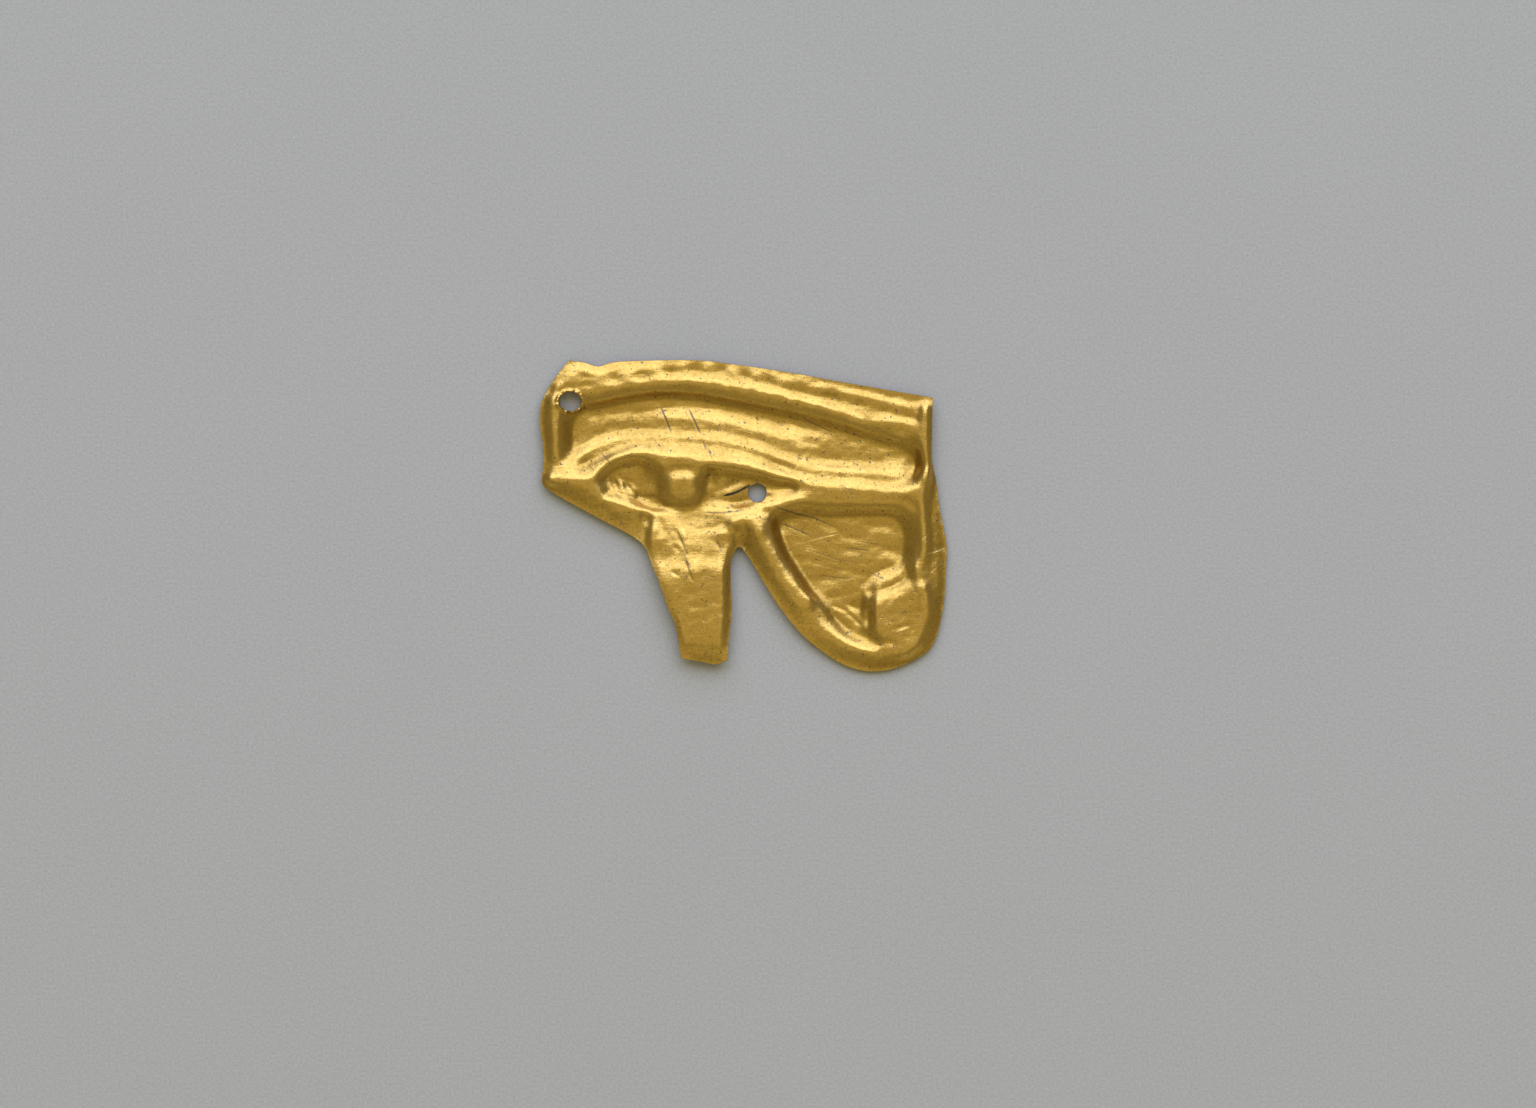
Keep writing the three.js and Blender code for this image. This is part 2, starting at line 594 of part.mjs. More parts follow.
// The grid with twice as many cells, its heights read between those of the coarser one.
function refine(coarse) {
  const fine = makeGrid(coarse.cells * 2);
  const at = (i, j) => coarse.heights[j * coarse.side + i];
  for (let j = 0; j < fine.side; j++) {
    for (let i = 0; i < fine.side; i++) {
      const [left, low] = [i >> 1, j >> 1];
      const [right, high] = [(i + 1) >> 1, (j + 1) >> 1];
      const corners = [at(left, low), at(right, low), at(left, high), at(right, high)];
      fine.heights[j * fine.side + i] = corners.reduce((sum, height) => sum + height) / 4;
    }
  }
  return fine;
}

// Stretches the sheet: each node settles at the mean of its neighbours, pulled to its lines.
function settle(grid) {
  const { side, heights, cells } = grid;
  const { grip, pull } = gripNodes(grid);
  for (let sweep = 0; sweep < SWEEPS; sweep++) {
    for (let j = 0; j < side; j++) {
      const above = Math.min(j + 1, cells) * side;
      const below = Math.max(j - 1, 0) * side;
      for (let i = 0; i < side; i++) {
        const node = j * side + i;
        const left = heights[j * side + Math.max(i - 1, 0)];
        const right = heights[j * side + Math.min(i + 1, cells)];
        const mean = (left + right + heights[above + i] + heights[below + i]) / 4;
        const balance = (mean + pull[node]) / (1 + grip[node]);
        heights[node] += (balance - heights[node]) * (grip[node] > 1 ? 1 : HASTE);
      }
    }
  }
}

// Rounds every fold to the sheet's own bend: a bell-curve mean along each row, then each column.
function roundFolds(grid) {
  const { side, cells } = grid;
  const meanAlong = (step, stride, otherStride) => {
    const reach = Math.ceil((BELL_REACH * BEND) / step);
    const bell = [];
    for (let offset = -reach; offset <= reach; offset++) {
      bell.push(Math.exp(-0.5 * ((offset * step) / BEND) ** 2));
    }
    const total = bell.reduce((sum, share) => sum + share);
    const rounded = new Float64Array(side ** 2);
    for (let line = 0; line < side; line++) {
      for (let place = 0; place < side; place++) {
        let sum = 0;
        for (let offset = -reach; offset <= reach; offset++) {
          const other = THREE.MathUtils.clamp(place + offset, 0, cells);
          sum += bell[offset + reach] * grid.heights[line * otherStride + other * stride];
        }
        rounded[line * otherStride + place * stride] = sum / total;
      }
    }
    grid.heights = rounded;
  };
  meanAlong(grid.stepX, 1, side);
  meanAlong(grid.stepY, side, 1);
}

// Strikes the blows along the brow: each pushes the face down as a long bell along the curve that
// runs through all of them.
function strikeBlows({ side, cells, stepX, stepY, heights }) {
  const points = BLOW_SHARES.map(([across, up]) => {
    return new THREE.Vector3(across * WIDTH, up * HEIGHT, 0);
  });
  const row = new THREE.CatmullRomCurve3(points, false, "centripetal");
  points.forEach((middle, index) => {
    const way = row.getTangent(index / (points.length - 1));
    const reach = Math.ceil((BELL_REACH * BLOW_LENGTH) / Math.min(stepX, stepY));
    const column = Math.round((middle.x + MARGIN) / stepX);
    const line = Math.round((middle.y + MARGIN) / stepY);
    for (let j = Math.max(line - reach, 0); j <= Math.min(line + reach, cells); j++) {
      for (let i = Math.max(column - reach, 0); i <= Math.min(column + reach, cells); i++) {
        const [dx, dy] = [i * stepX - MARGIN - middle.x, j * stepY - MARGIN - middle.y];
        const along = (dx * way.x + dy * way.y) / BLOW_LENGTH;
        const across = (dy * way.x - dx * way.y) / BLOW_WIDTH;
        heights[j * side + i] -= BLOW_DEPTH * Math.exp(-(along ** 2) - across ** 2);
      }
    }
  });
}

function stretchSheet() {
  let grid = makeGrid(COARSEST_CELLS);
  settle(grid);
  while (grid.cells < CELLS) {
    grid = refine(grid);
    settle(grid);
  }
  roundFolds(grid);
  strikeBlows(grid);
  grid.heights = grid.heights.map((height) => Math.max(height - PRESSED, 0));
  return grid;
}

// The largest distance by which a facet would miss the sheet, kept at the middle of its longest
// side. Facets are right-angled triangles, halved again and again across that side, so they are
// numbered as in a binary tree and taken from the smallest up.
function facetErrors({ side, cells, heights }) {
  const errors = new Float64Array(side ** 2);
  const smallest = cells * cells;
  const all = smallest * 2 - 2;
  for (let index = all - 1; index >= 0; index--) {
    let path = index + 2;
    const second = path & 1;
    let [ax, ay, bx, by] = second ? [0, 0, cells, cells] : [cells, cells, 0, 0];
    let [cx, cy] = second ? [cells, 0] : [0, cells];
    while ((path >>= 1) > 1) {
      const [mx, my] = [(ax + bx) >> 1, (ay + by) >> 1];
      if (path & 1) {
        [bx, by, ax, ay] = [ax, ay, cx, cy];
      } else {
        [ax, ay, bx, by] = [bx, by, cx, cy];
      }
      [cx, cy] = [mx, my];
    }
    const middle = ((ay + by) >> 1) * side + ((ax + bx) >> 1);
    const straight = (heights[ay * side + ax] + heights[by * side + bx]) / 2;
    errors[middle] = Math.max(errors[middle], Math.abs(straight - heights[middle]));
    if (index < all - smallest) {
      const left = ((ay + cy) >> 1) * side + ((ax + cx) >> 1);
      const right = ((by + cy) >> 1) * side + ((bx + cx) >> 1);
      errors[middle] = Math.max(errors[middle], errors[left], errors[right]);
    }
  }
  return errors;
}

// Facets of the sheet in plan, as triples of nodes: large on floors and small over folds.
function facets(grid) {
  const { side, cells } = grid;
  const errors = facetErrors(grid);
  const triples = [];
  const halve = (a, b, c) => {
    const middle = [(a[0] + b[0]) >> 1, (a[1] + b[1]) >> 1];
    const legs = Math.abs(a[0] - c[0]) + Math.abs(a[1] - c[1]);
    if (legs > 1 && errors[middle[1] * side + middle[0]] > FACET_ERROR) {
      halve(c, a, middle);
      halve(b, c, middle);
    } else {
      triples.push([a, b, c].map(([i, j]) => j * side + i));
    }
  };
  halve([0, 0], [cells, cells], [cells, 0]);
  halve([cells, cells], [0, 0], [0, cells]);
  return triples;
}

// The uncut sheet: the same facets on the face and on the back, which lies one thickness under the
// face measured square to it but never below the bench, and walls all round.
function sheetGeometry(grid) {
  const { side, cells, stepX, stepY, heights } = grid;
  const triples = facets(grid);
  const at = (i, j) => {
    const column = THREE.MathUtils.clamp(i, 0, cells);
    return heights[THREE.MathUtils.clamp(j, 0, cells) * side + column];
  };
  const points = [];
  const numbers = new Map();
  const numberOf = (node) => {
    if (!numbers.has(node)) {
      const [i, j] = [node % side, Math.floor(node / side)];
      const slopeX = (at(i + 1, j) - at(i - 1, j)) / (2 * stepX);
      const slopeY = (at(i, j + 1) - at(i, j - 1)) / (2 * stepY);
      const drop = SHEET * Math.hypot(1, slopeX, slopeY);
      const [x, y, z] = [i * stepX - MARGIN, j * stepY - MARGIN, at(i, j) + SHEET];
      numbers.set(node, points.length / 3);
      points.push(x, y, z, x, y, Math.max(z - drop, 0));
    }
    return numbers.get(node);
  };
  const index = [];
  const sides = new Map();
  for (const triple of triples) {
    const [a, b, c] = triple.map(numberOf);
    const turn = areaTwice(triple, side);
    const [p, q, r] = turn > 0 ? [a, b, c] : [a, c, b];
    index.push(p, q, r, p + 1, r + 1, q + 1);
    for (const [from, to] of [[p, q], [q, r], [r, p]]) {
      const back = `${to} ${from}`;
      if (sides.has(back)) {
        sides.delete(back);
      } else {
        sides.set(`${from} ${to}`, [from, to]);
      }
    }
  }
  for (const [from, to] of sides.values()) {
    index.push(to, from, from + 1, to, from + 1, to + 1);
  }
  const geometry = new THREE.BufferGeometry();
  geometry.setAttribute("position", new THREE.Float32BufferAttribute(points, 3));
  geometry.setIndex(index);
  return geometry;
}

// Twice the area of a triple of nodes in plan, positive where it runs anticlockwise.
function areaTwice([a, b, c], side) {
  const place = (node) => new THREE.Vector2(node % side, Math.floor(node / side));
  return place(b).sub(place(a)).cross(place(c).sub(place(a)));
}

// The thread hole and the tear, as holes in the outline.
function threadHole() {
  const [across, up] = THREAD_HOLE_SHARES;
  const path = new THREE.Path();
  path.absellipse(
    across * WIDTH,
    up * HEIGHT,
    THREAD_HOLE_WIDTH / 2,
    THREAD_HOLE_HEIGHT / 2,
    0,
    Math.PI * 2,
  );
  return path;
}

// The tear: a narrow slit that opens into a round hole, drawn as one closed outline. The slit ends
// just short of the ring, which starts and stops half a slit's width beside that end.
function tearHole() {
  const [centreShare, upShare] = TEAR_HOLE_SHARES;
  const centre = new THREE.Vector2(centreShare * WIDTH, upShare * HEIGHT);
  const slit = new THREE.CatmullRomCurve3(
    SLIT_SHARES.map(([across, up]) => new THREE.Vector3(across * WIDTH, up * HEIGHT, 0)),
    false,
    "centripetal",
  );
  const middle = slit
    .getPoints(CURVE_STEPS)
    .map(({ x, y }) => new THREE.Vector2(x, y))
    .filter((point) => point.distanceTo(centre) > TEAR_HOLE_RADIUS + SLIT_WIDTH / 2);
  const flank = (way) =>
    middle.map((point, index) => {
      const next = middle[Math.min(index + 1, middle.length - 1)];
      const last = middle[Math.max(index - 1, 0)];
      const along = next.clone().sub(last).normalize();
      const opened = Math.min(1, index / (middle.length - 1) / SLIT_TAPER_SHARE);
      const square = new THREE.Vector2(-along.y, along.x);
      return point.clone().add(square.multiplyScalar((way * opened * SLIT_WIDTH) / 2));
    });
  const mouth = middle.at(-1).clone().sub(centre);
  const gap = Math.asin(SLIT_WIDTH / 2 / TEAR_HOLE_RADIUS);
  const ring = [];
  for (let step = 0; step <= CURVE_STEPS; step++) {
    const turn = gap + (step / CURVE_STEPS) * (Math.PI * 2 - 2 * gap);
    const point = new THREE.Vector2(TEAR_HOLE_RADIUS, 0);
    ring.push(point.rotateAround(new THREE.Vector2(), mouth.angle() - turn).add(centre));
  }
  const [upper, lower] = [flank(1), flank(-1)];
  return new THREE.Path().setFromPoints([...upper, ...ring, ...lower.reverse().slice(0, -1)]);
}

// The outline as a prism that the sheet is cut with.
function outlinePrism() {
  const points = edgeCurves.flatMap((curve) =>
    curve
      .getPoints((curve.points.length - 1) * EDGE_DIVISIONS)
      .slice(0, -1)
      .map(({ x, y }) => new THREE.Vector2(x, y)),
  );
  const shape = new THREE.Shape().setFromPoints(points.reverse());
  shape.holes.push(threadHole(), tearHole());
  const depth = DROP_TOP + SHEET + 2 * OVERRUN;
  const prism = new THREE.ExtrudeGeometry(shape, {
    depth,
    bevelEnabled: false,
    curveSegments: CURVE_STEPS,
  });
  prism.translate(0, 0, -OVERRUN);
  return prism;
}

function solidOf(geometry) {
  geometry.deleteAttribute("normal");
  geometry.deleteAttribute("uv");
  const merged = mergeVertices(geometry);
  return new wasm.Manifold(
    new wasm.Mesh({
      numProp: 3,
      vertProperties: merged.attributes.position.array,
      triVerts: new Uint32Array(merged.index.array),
    }),
  );
}

function geometryOf(solid) {
  const { vertProperties, triVerts } = solid.getMesh();
  const geometry = new THREE.BufferGeometry();
  geometry.setAttribute("position", new THREE.BufferAttribute(vertProperties, 3));
  geometry.setIndex(new THREE.BufferAttribute(triVerts, 1));
  geometry.computeVertexNormals();
  return geometry;
}

const gold = new THREE.MeshStandardMaterial({
  name: "beaten gold",
  color: 0xc9a04a,
  metalness: 1,
  roughness: 0.28,
});

const cutSheet = solidOf(sheetGeometry(stretchSheet())).intersect(solidOf(outlinePrism()));
const sheet = new THREE.Mesh(geometryOf(cutSheet), gold);
sheet.name = "gold_sheet";

// The middle of the sheet's box stands over the origin, with its lowest point on the ground.
sheet.geometry.computeBoundingBox();
const { min, max } = sheet.geometry.boundingBox;
sheet.geometry.translate(-(min.x + max.x) / 2, -(min.y + max.y) / 2, -min.z);

const group = new THREE.Group();
group.name = "wedjat_eye_amulet";
group.add(sheet);

export default group;
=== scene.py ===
# A wedjat eye amulet of thin beaten gold, lying face up on a pale floor.
# Metres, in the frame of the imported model: X to the right, Y up the face, Z out of it.
import math

import bpy
import numpy as np
from bpy.props import FloatProperty, FloatVectorProperty, PointerProperty
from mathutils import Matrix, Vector


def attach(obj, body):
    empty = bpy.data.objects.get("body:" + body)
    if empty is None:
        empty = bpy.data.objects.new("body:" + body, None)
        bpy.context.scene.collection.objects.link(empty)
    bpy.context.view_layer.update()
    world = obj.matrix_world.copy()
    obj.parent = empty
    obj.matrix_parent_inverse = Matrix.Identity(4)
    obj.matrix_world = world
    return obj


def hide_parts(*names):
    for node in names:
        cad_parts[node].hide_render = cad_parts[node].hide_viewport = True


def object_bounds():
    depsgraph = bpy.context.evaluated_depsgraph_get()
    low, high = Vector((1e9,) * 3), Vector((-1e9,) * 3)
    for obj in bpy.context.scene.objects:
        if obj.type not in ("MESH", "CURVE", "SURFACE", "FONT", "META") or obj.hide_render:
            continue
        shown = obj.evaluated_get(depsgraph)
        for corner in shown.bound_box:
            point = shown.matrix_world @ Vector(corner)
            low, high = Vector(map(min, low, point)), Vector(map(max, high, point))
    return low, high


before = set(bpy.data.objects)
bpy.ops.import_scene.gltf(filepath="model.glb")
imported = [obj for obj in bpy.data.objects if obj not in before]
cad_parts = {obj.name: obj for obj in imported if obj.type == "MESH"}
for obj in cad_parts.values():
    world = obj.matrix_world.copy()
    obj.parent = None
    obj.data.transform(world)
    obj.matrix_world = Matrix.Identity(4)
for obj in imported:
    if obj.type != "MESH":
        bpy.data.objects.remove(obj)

bl_info = {
    "name": "Gold wedjat eye amulet",
    "version": (1, 0, 0),
    "blender": (4, 5, 0),
    "location": "View3D > Sidebar > Amulet",
    "description": "Builds a wedjat eye amulet of beaten gold sheet and its stage",
    "category": "Add Mesh",
}

MM = 0.001
CAD_LOW, CAD_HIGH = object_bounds()
EDGE_SPAN = (1.0028, 0.9994)  # reach of the edge's smooth curve, over the width and the height

SPAN_STEPS = 16  # samples between two points of a curve
RING_STEPS = 96  # samples round a hole
COARSENESS = (8, 4, 2, 1)  # of the lattices on which the sheet comes to rest in turn
SWEEPS = 200  # turns in which it comes to rest
HASTE = 1.7  # a free node is moved this many times its way to balance
GRIP_REACH = 2.5  # in tool radii
BELL_REACH = 3  # in sigmas
EDGE_REACH = 3  # in nodes
LEAST_DEPTH = 1e-9  # keeps a node off the edge itself
SNAP = 0.08  # a crossing keeps this share of its side away from both nodes
WAVE_SEED = 3
WAVE_COUNT = 60
SHORTEST_WAVE, LONGEST_WAVE = 0.35 * MM, 1.5 * MM
WAVE_BEND = 0.35  # how far its crests wander, in wavelengths
BURR_MIDDLE, BURR_WIDTH = 0.08 * MM, 0.12 * MM  # from the hole's edge outwards
TATTERS = ((0.35, 7, 1), (0.3, 13, 0), (0.2, 23, 0))  # height, count round the hole, and start
LEAST_THICKNESS = 0.5  # share of the sheet that the deepest dent leaves
HOLLOW_REACH = 0.45 * MM  # a hollow lies below the mean of the face round it
FULL_HOLLOW = 0.12 * MM
ARC_BASE, ARC_START, ARC_FADE = 0.7, 0.4, 0.2  # of the strokes' arc, in shares of the height
SCRATCH_REACH = 0.3 * MM
SCRATCH_ENDS = 5  # a scratch fades over one part in this many at each end
SHARP_ANGLE = math.radians(50)
SCRATCH_HALF_WIDTH = 0.055  # in millimetres, as the two depths are
SCRATCH_DEPTH, PIT_DEPTH = 0.012, 0.006
CARD_RANGE = (0.8, 1.2)  # brightness of the floor's darkest and palest grains
CARD_GRAIN = 0.02 * MM
FLOOR_GAP = 0.01 * MM
CLIP_END = 10.0


def length(name, description, millimetres):
    """A size in metres, given here in millimetres."""
    return FloatProperty(
        name=name,
        description=description,
        default=millimetres * MM,
        min=0.0,
        precision=6,
        unit="LENGTH",
        subtype="DISTANCE",
    )


def share(name, description, default):
    """A plain number, from 0 up."""
    return FloatProperty(name=name, description=description, default=default, min=0.0, precision=4)


def bearing(name, description, degrees):
    """An angle, given here in degrees."""
    default = math.radians(degrees)
    return FloatProperty(name=name, description=description, default=default, subtype="ANGLE")


def shift(name, description, metres):
    """A distance in metres that may be negative."""
    return FloatProperty(name=name, description=description, default=metres, unit="LENGTH")


def tint(name, description, *colour):
    """A colour in linear light."""
    return FloatVectorProperty(
        name=name,
        description=description,
        default=colour,
        size=3,
        min=0.0,
        max=1.0,
        subtype="COLOR",
    )


class SheetSizes(bpy.types.PropertyGroup):
    """The gold sheet and how it was worked."""

    width: length("Width", "Across the sheet", (CAD_HIGH.x - CAD_LOW.x) / MM / EDGE_SPAN[0])
    height: length("Height", "Up the sheet", (CAD_HIGH.y - CAD_LOW.y) / MM / EDGE_SPAN[1])
    thickness: length("Thickness", "Of the beaten gold", 0.22)
    bend: length("Bend", "How softly the sheet folds over a chased line", 0.2)
    tool_radius: length("Tool radius", "Tip of the chasing tool", 0.1)
    pressed: length("Pressed", "Floors are struck this much too deep and then lie flat", 0.015)
    margin: length("Margin", "Stretched sheet outside the cut edge", 0.5)
    rounding: length("Rounding", "How far the cut edge swells at half its thickness", 0.025)
    spacing: length("Spacing", "Between two points of the mesh", 0.0905)
    grip: share("Grip", "How firmly a line holds the sheet against its neighbours", 30.0)
    hole_width: length("Hole width", "Thread hole across", 1.45)
    hole_height: length("Hole height", "Thread hole up the face", 1.25)
    tear_radius: length("Tear radius", "Round end of the tear", 0.62)
    slit_width: length("Slit width", "Open part of the tear", 0.16)
    burr_height: length("Burr", "Torn rim round the thread hole", 0.13)
    hammering: length("Hammering", "Height of the unevenness that the hammer left", 0.006)


# Height of each chased line above the floors, in millimetres, and what it is.
RELIEF = {
    "brow_left": (0.77, "Left end of the brow, behind its edge"),
    "brow_lip": (0.56, "Raised lip inside the top edge"),
    "brow_trough": (0.58, "Bottom of the brow band"),
    "brow_near": (0.74, "Bottom of the brow band near its left end"),
    "brow_far": (0.6, "Right end of the brow, behind its edge"),
    "brow_shelf": (0.5, "Start of the brow band's rise at the right"),
    "brow_crest": (0.78, "Lower crest of the brow"),
    "crest": (0.98, "Lower edge of the brow band and upper end of the right border"),
    "border": (0.88, "Ridges inside the left and right edges"),
    "arm_dip": (0.7, "Dip of the left border above the lid's arm"),
    "field_floor": (0, "Floor of the long field"),
    "field_break": (0.28, "Where the field levels out, along its middle"),
    "field_side": (0.04, "Where the field levels out, near both ends"),
    "field_end": (0.06, "Where the field levels out, at its shallow ends"),
    "wall_break": (0.6, "Foot of the wall between brow and field"),
    "wall_break_far": (0.58, "Right end of the foot of the wall between brow and field"),
    "ridge": (0.54, "Chased ridge under the field"),
    "ridge_left": (0.34, "Left part of the ridge"),
    "ridge_root": (0.42, "Left end of the ridge and groove"),
    "ridge_far": (0.43, "Right end of the ridge"),
    "groove": (0.52, "Groove under the ridge"),
    "groove_left": (0.32, "Left part of the groove"),
    "groove_far": (0.42, "Right end of the groove"),
    "pit": (0.05, "Pit at the right end of the field"),
    "lid": (0.88, "Upper lid over the eye"),
    "lid_left": (0.8, "Upper lid over the left part of the eye"),
    "lid_arm": (0.86, "Arm of the upper lid past the eye"),
    "lid_far": (0.72, "Arm of the upper lid at its right end"),
    "lid_foot": (0.36, "Foot of the lid beside the groove"),
    "lower_lid": (0.76, "Lower lid under the left half of the eye"),
    "lid_low": (0.5, "Lower lid over the drop"),
    "lid_end": (0.6, "Lower lid right of the drop"),
    "eye_shelf": (0.84, "Arc over the pupil"),
    "eye_fold": (0.68, "Fold between the pupil and the arc over it"),
    "eye_deep": (0.1, "Valley round the pupil"),
    "eye_side": (0.25, "Floor of the eye at its ends"),
    "eye_rise": (0.33, "Floor of the eye under the right part of the upper lid"),
    "eye_tilt": (0.44, "Crumpled left part of the eye, by the lower lid"),
    "eye_foot": (0.22, "Floor of the eye at the foot of the pupil"),
    "eye_sill": (0.42, "Floor of the eye under the pupil"),
    "eye_slope": (0.3, "Floor of the eye beside the sill"),
    "pupil": (0.86, "Top of the pupil"),
    "pupil_foot": (0.76, "Lower side of the pupil's top"),
    "tear_lip": (0.36, "Curled lip over the tear"),
    "tear_fold": (0.3, "Sheet under the tear"),
    "corner_ridge": (0.74, "Ridge at the outer corner of the eye"),
    "panel_rim": (0.64, "Upper and right rim of the panel"),
    "panel_floor": (0, "Floor of the panel"),
    "step_low": (0.05, "Upper end of the step in the panel"),
    "step_foot": (0.16, "Foot of the step in the panel"),
    "terrace": (0.34, "Step between the slanting band and the panel's floor"),
    "band_start": (0.94, "Top of the slanting band"),
    "band_shoulder": (0.84, "Middle of the slanting band"),
    "band_low": (0.56, "Lower part of the slanting band"),
    "band_foot": (0.62, "Inner side of the slanting band"),
    "band_end": (0.76, "End of the slanting band, round the curl"),
    "curl_low": (0.2, "Left end of the step outside the curl"),
    "curl_step": (0.36, "Step outside the curl"),
    "curl_groove": (0.34, "Groove outside the rim of the curl"),
    "curl_side": (0.72, "Right side of the curl"),
    "curl_rim": (0.66, "Rim of the curl"),
    "curl_top": (0.66, "Face of the curl"),
    "flare_break": (0.45, "Where the right flange turns outwards"),
    "drop_neck": (0.62, "Left shoulder of the drop"),
    "drop_rise": (0.64, "Top of the drop, where it climbs from the lid"),
    "drop_top": (1.02, "Upper part of the drop"),
    "drop_side": (0.78, "Left side of the upper drop"),
    "drop_knee": (0.77, "Drop where its upper slope steepens"),
    "drop_end": (0.96, "Lower part of the drop"),
    "drop_lip": (0.8, "Turned lower end of the drop"),
    "saddle": (0.98, "Crest over the notch"),
    "top_edge": (0.48, "Cut edge along the top"),
    "corner_edge": (0.6, "Cut edge at the upper right corner"),
    "side_edge": (0.3, "Cut edge down the right side"),
    "flare_edge": (0.16, "Cut edge of the right flange"),
    "band_edge": (0.5, "Cut edge of the slanting band"),
    "notch_edge": (0.46, "Cut edge over the notch"),
    "drop_edge": (0.55, "Cut edge of the drop"),
    "cheek_edge": (0.42, "Cut edge under the cheek"),
    "left_edge": (0.45, "Cut edge down the left side"),
}


class ReliefHeights(bpy.types.PropertyGroup):
    """Heights of the chased lines above the floors."""

    __annotations__ = {
        name: length(name.replace("_", " ").capitalize(), description, millimetres)
        for name, (millimetres, description) in RELIEF.items()
    }


class GoldFinish(bpy.types.PropertyGroup):
    """Colours and gloss of the gold."""

    # Deep gold goes into hollows as painted shade and also into random tone; bright gold on high
    # places is partly burnishing and partly painted highlight.
    bright: tint("Bright gold", "Burnished high places", 0.60, 0.362, 0.066)
    deep: tint("Deep gold", "Hollows", 0.42, 0.232, 0.011)
    soil: tint("Soil", "Dark grains in pits and scratches", 0.10, 0.06, 0.03)
    # Paler gold painted along the bright scratches as a painted glint.
    scratch_glint: tint("Worn gold", "Bright scratches", 0.9, 0.68, 0.3)
    roughness: share("Roughness", "Of the burnished face", 0.28)
    polish: share("Polish", "White gloss over the gold", 0.6)
    grain: length("Grain", "Height of the finest unevenness", 0.014)
    streak: length("Streaks", "Height of the burnishing strokes", 0.003)


class Studio(bpy.types.PropertyGroup):
    """Floor, light and camera."""

    floor_colour: tint("Floor", "Pale grey floor", 0.45, 0.44, 0.46)
    floor_size: length("Floor size", "Side of the floor", 4000.0)
    lamp_width: length("Lamp width", "Of the soft lamp", 1500.0)
    lamp_height: length("Lamp height", "Of the soft lamp", 1100.0)
    lamp_colour: tint("Lamp colour", "A little cool", 0.68, 0.77, 1.0)
    lamp_radiance: share("Lamp", "Brightness of the soft lamp, where 1 is white", 2.65)
    lamp_distance: length("Lamp distance", "From the amulet", 1000.0)
    lamp_elevation: bearing("Lamp elevation", "Above the floor", 44)
    lamp_turn: bearing("Lamp turn", "To the left of the amulet's top, or below 0 to its right", -3)
    room_colour: tint("Room colour", "Warm", 1.0, 0.93, 0.5)
    horizon: share("Horizon", "Brightness of the room at floor level", 0.28)
    overhead: share("Overhead", "How much brighter the room is overhead", 0.6)
    shade: share("Shade", "How much of that the spot straight overhead lacks", 0.46)
    near_glow: share("Near glow", "Brightness low down on the near side", 0.42)
    focal: share("Lens", "Focal length in millimetres", 100.0)
    camera_height: length("Camera height", "Above the floor", 277.3)
    aim_x: shift("Aim across", "From the middle of the amulet", 0.00159)
    aim_y: shift("Aim up", "From the middle of the amulet", -0.00247)


# Places are thousandths of the width and of the height, from the lower left corner of the face.
# A line's heights are spread evenly over its places. A star repeats a height.
EDGE = [
    # Along the top, from left to right.
    ("top_edge*3 corner_edge", [
        (69, 1000), (104, 994), (141, 981), (175, 994), (269, 1000), (393, 1000), (479, 987),
        (615, 961), (738, 932), (862, 904), (965, 881),
    ]),
    # Down the right side, round the foot of the panel and up to the notch.
    ("corner_edge side_edge flare_edge*3 band_edge notch_edge", [
        (965, 881), (963, 778), (963, 682), (973, 617), (983, 521), (993, 457), (1000, 399),
        (998, 328), (990, 199), (960, 77), (886, 19), (832, 3), (788, 6), (738, 29), (689, 71),
        (640, 125), (590, 206), (553, 280), (521, 350), (496, 399),
    ]),
    # Over the notch and down the right side of the drop.
    ("notch_edge drop_edge drop_lip", [
        (496, 399), (486, 402), (469, 360), (467, 296), (469, 199), (462, 103), (459, 39),
    ]),
    # Across the end of the drop.
    ("drop_lip drop_edge drop_lip", [
        (459, 39), (432, 26), (393, 35), (346, 45),
    ]),
    # Up the left side of the drop, under the cheek and up the left side.
    ("drop_lip drop_end cheek_edge*2 left_edge*2 top_edge", [
        (346, 45), (331, 151), (311, 215), (294, 280), (274, 344), (257, 399), (235, 428),
        (146, 492), (47, 563), (5, 601), (2, 624), (7, 675), (5, 730), (-2, 794), (0, 859),
        (12, 897), (37, 949), (69, 1000),
    ]),
]

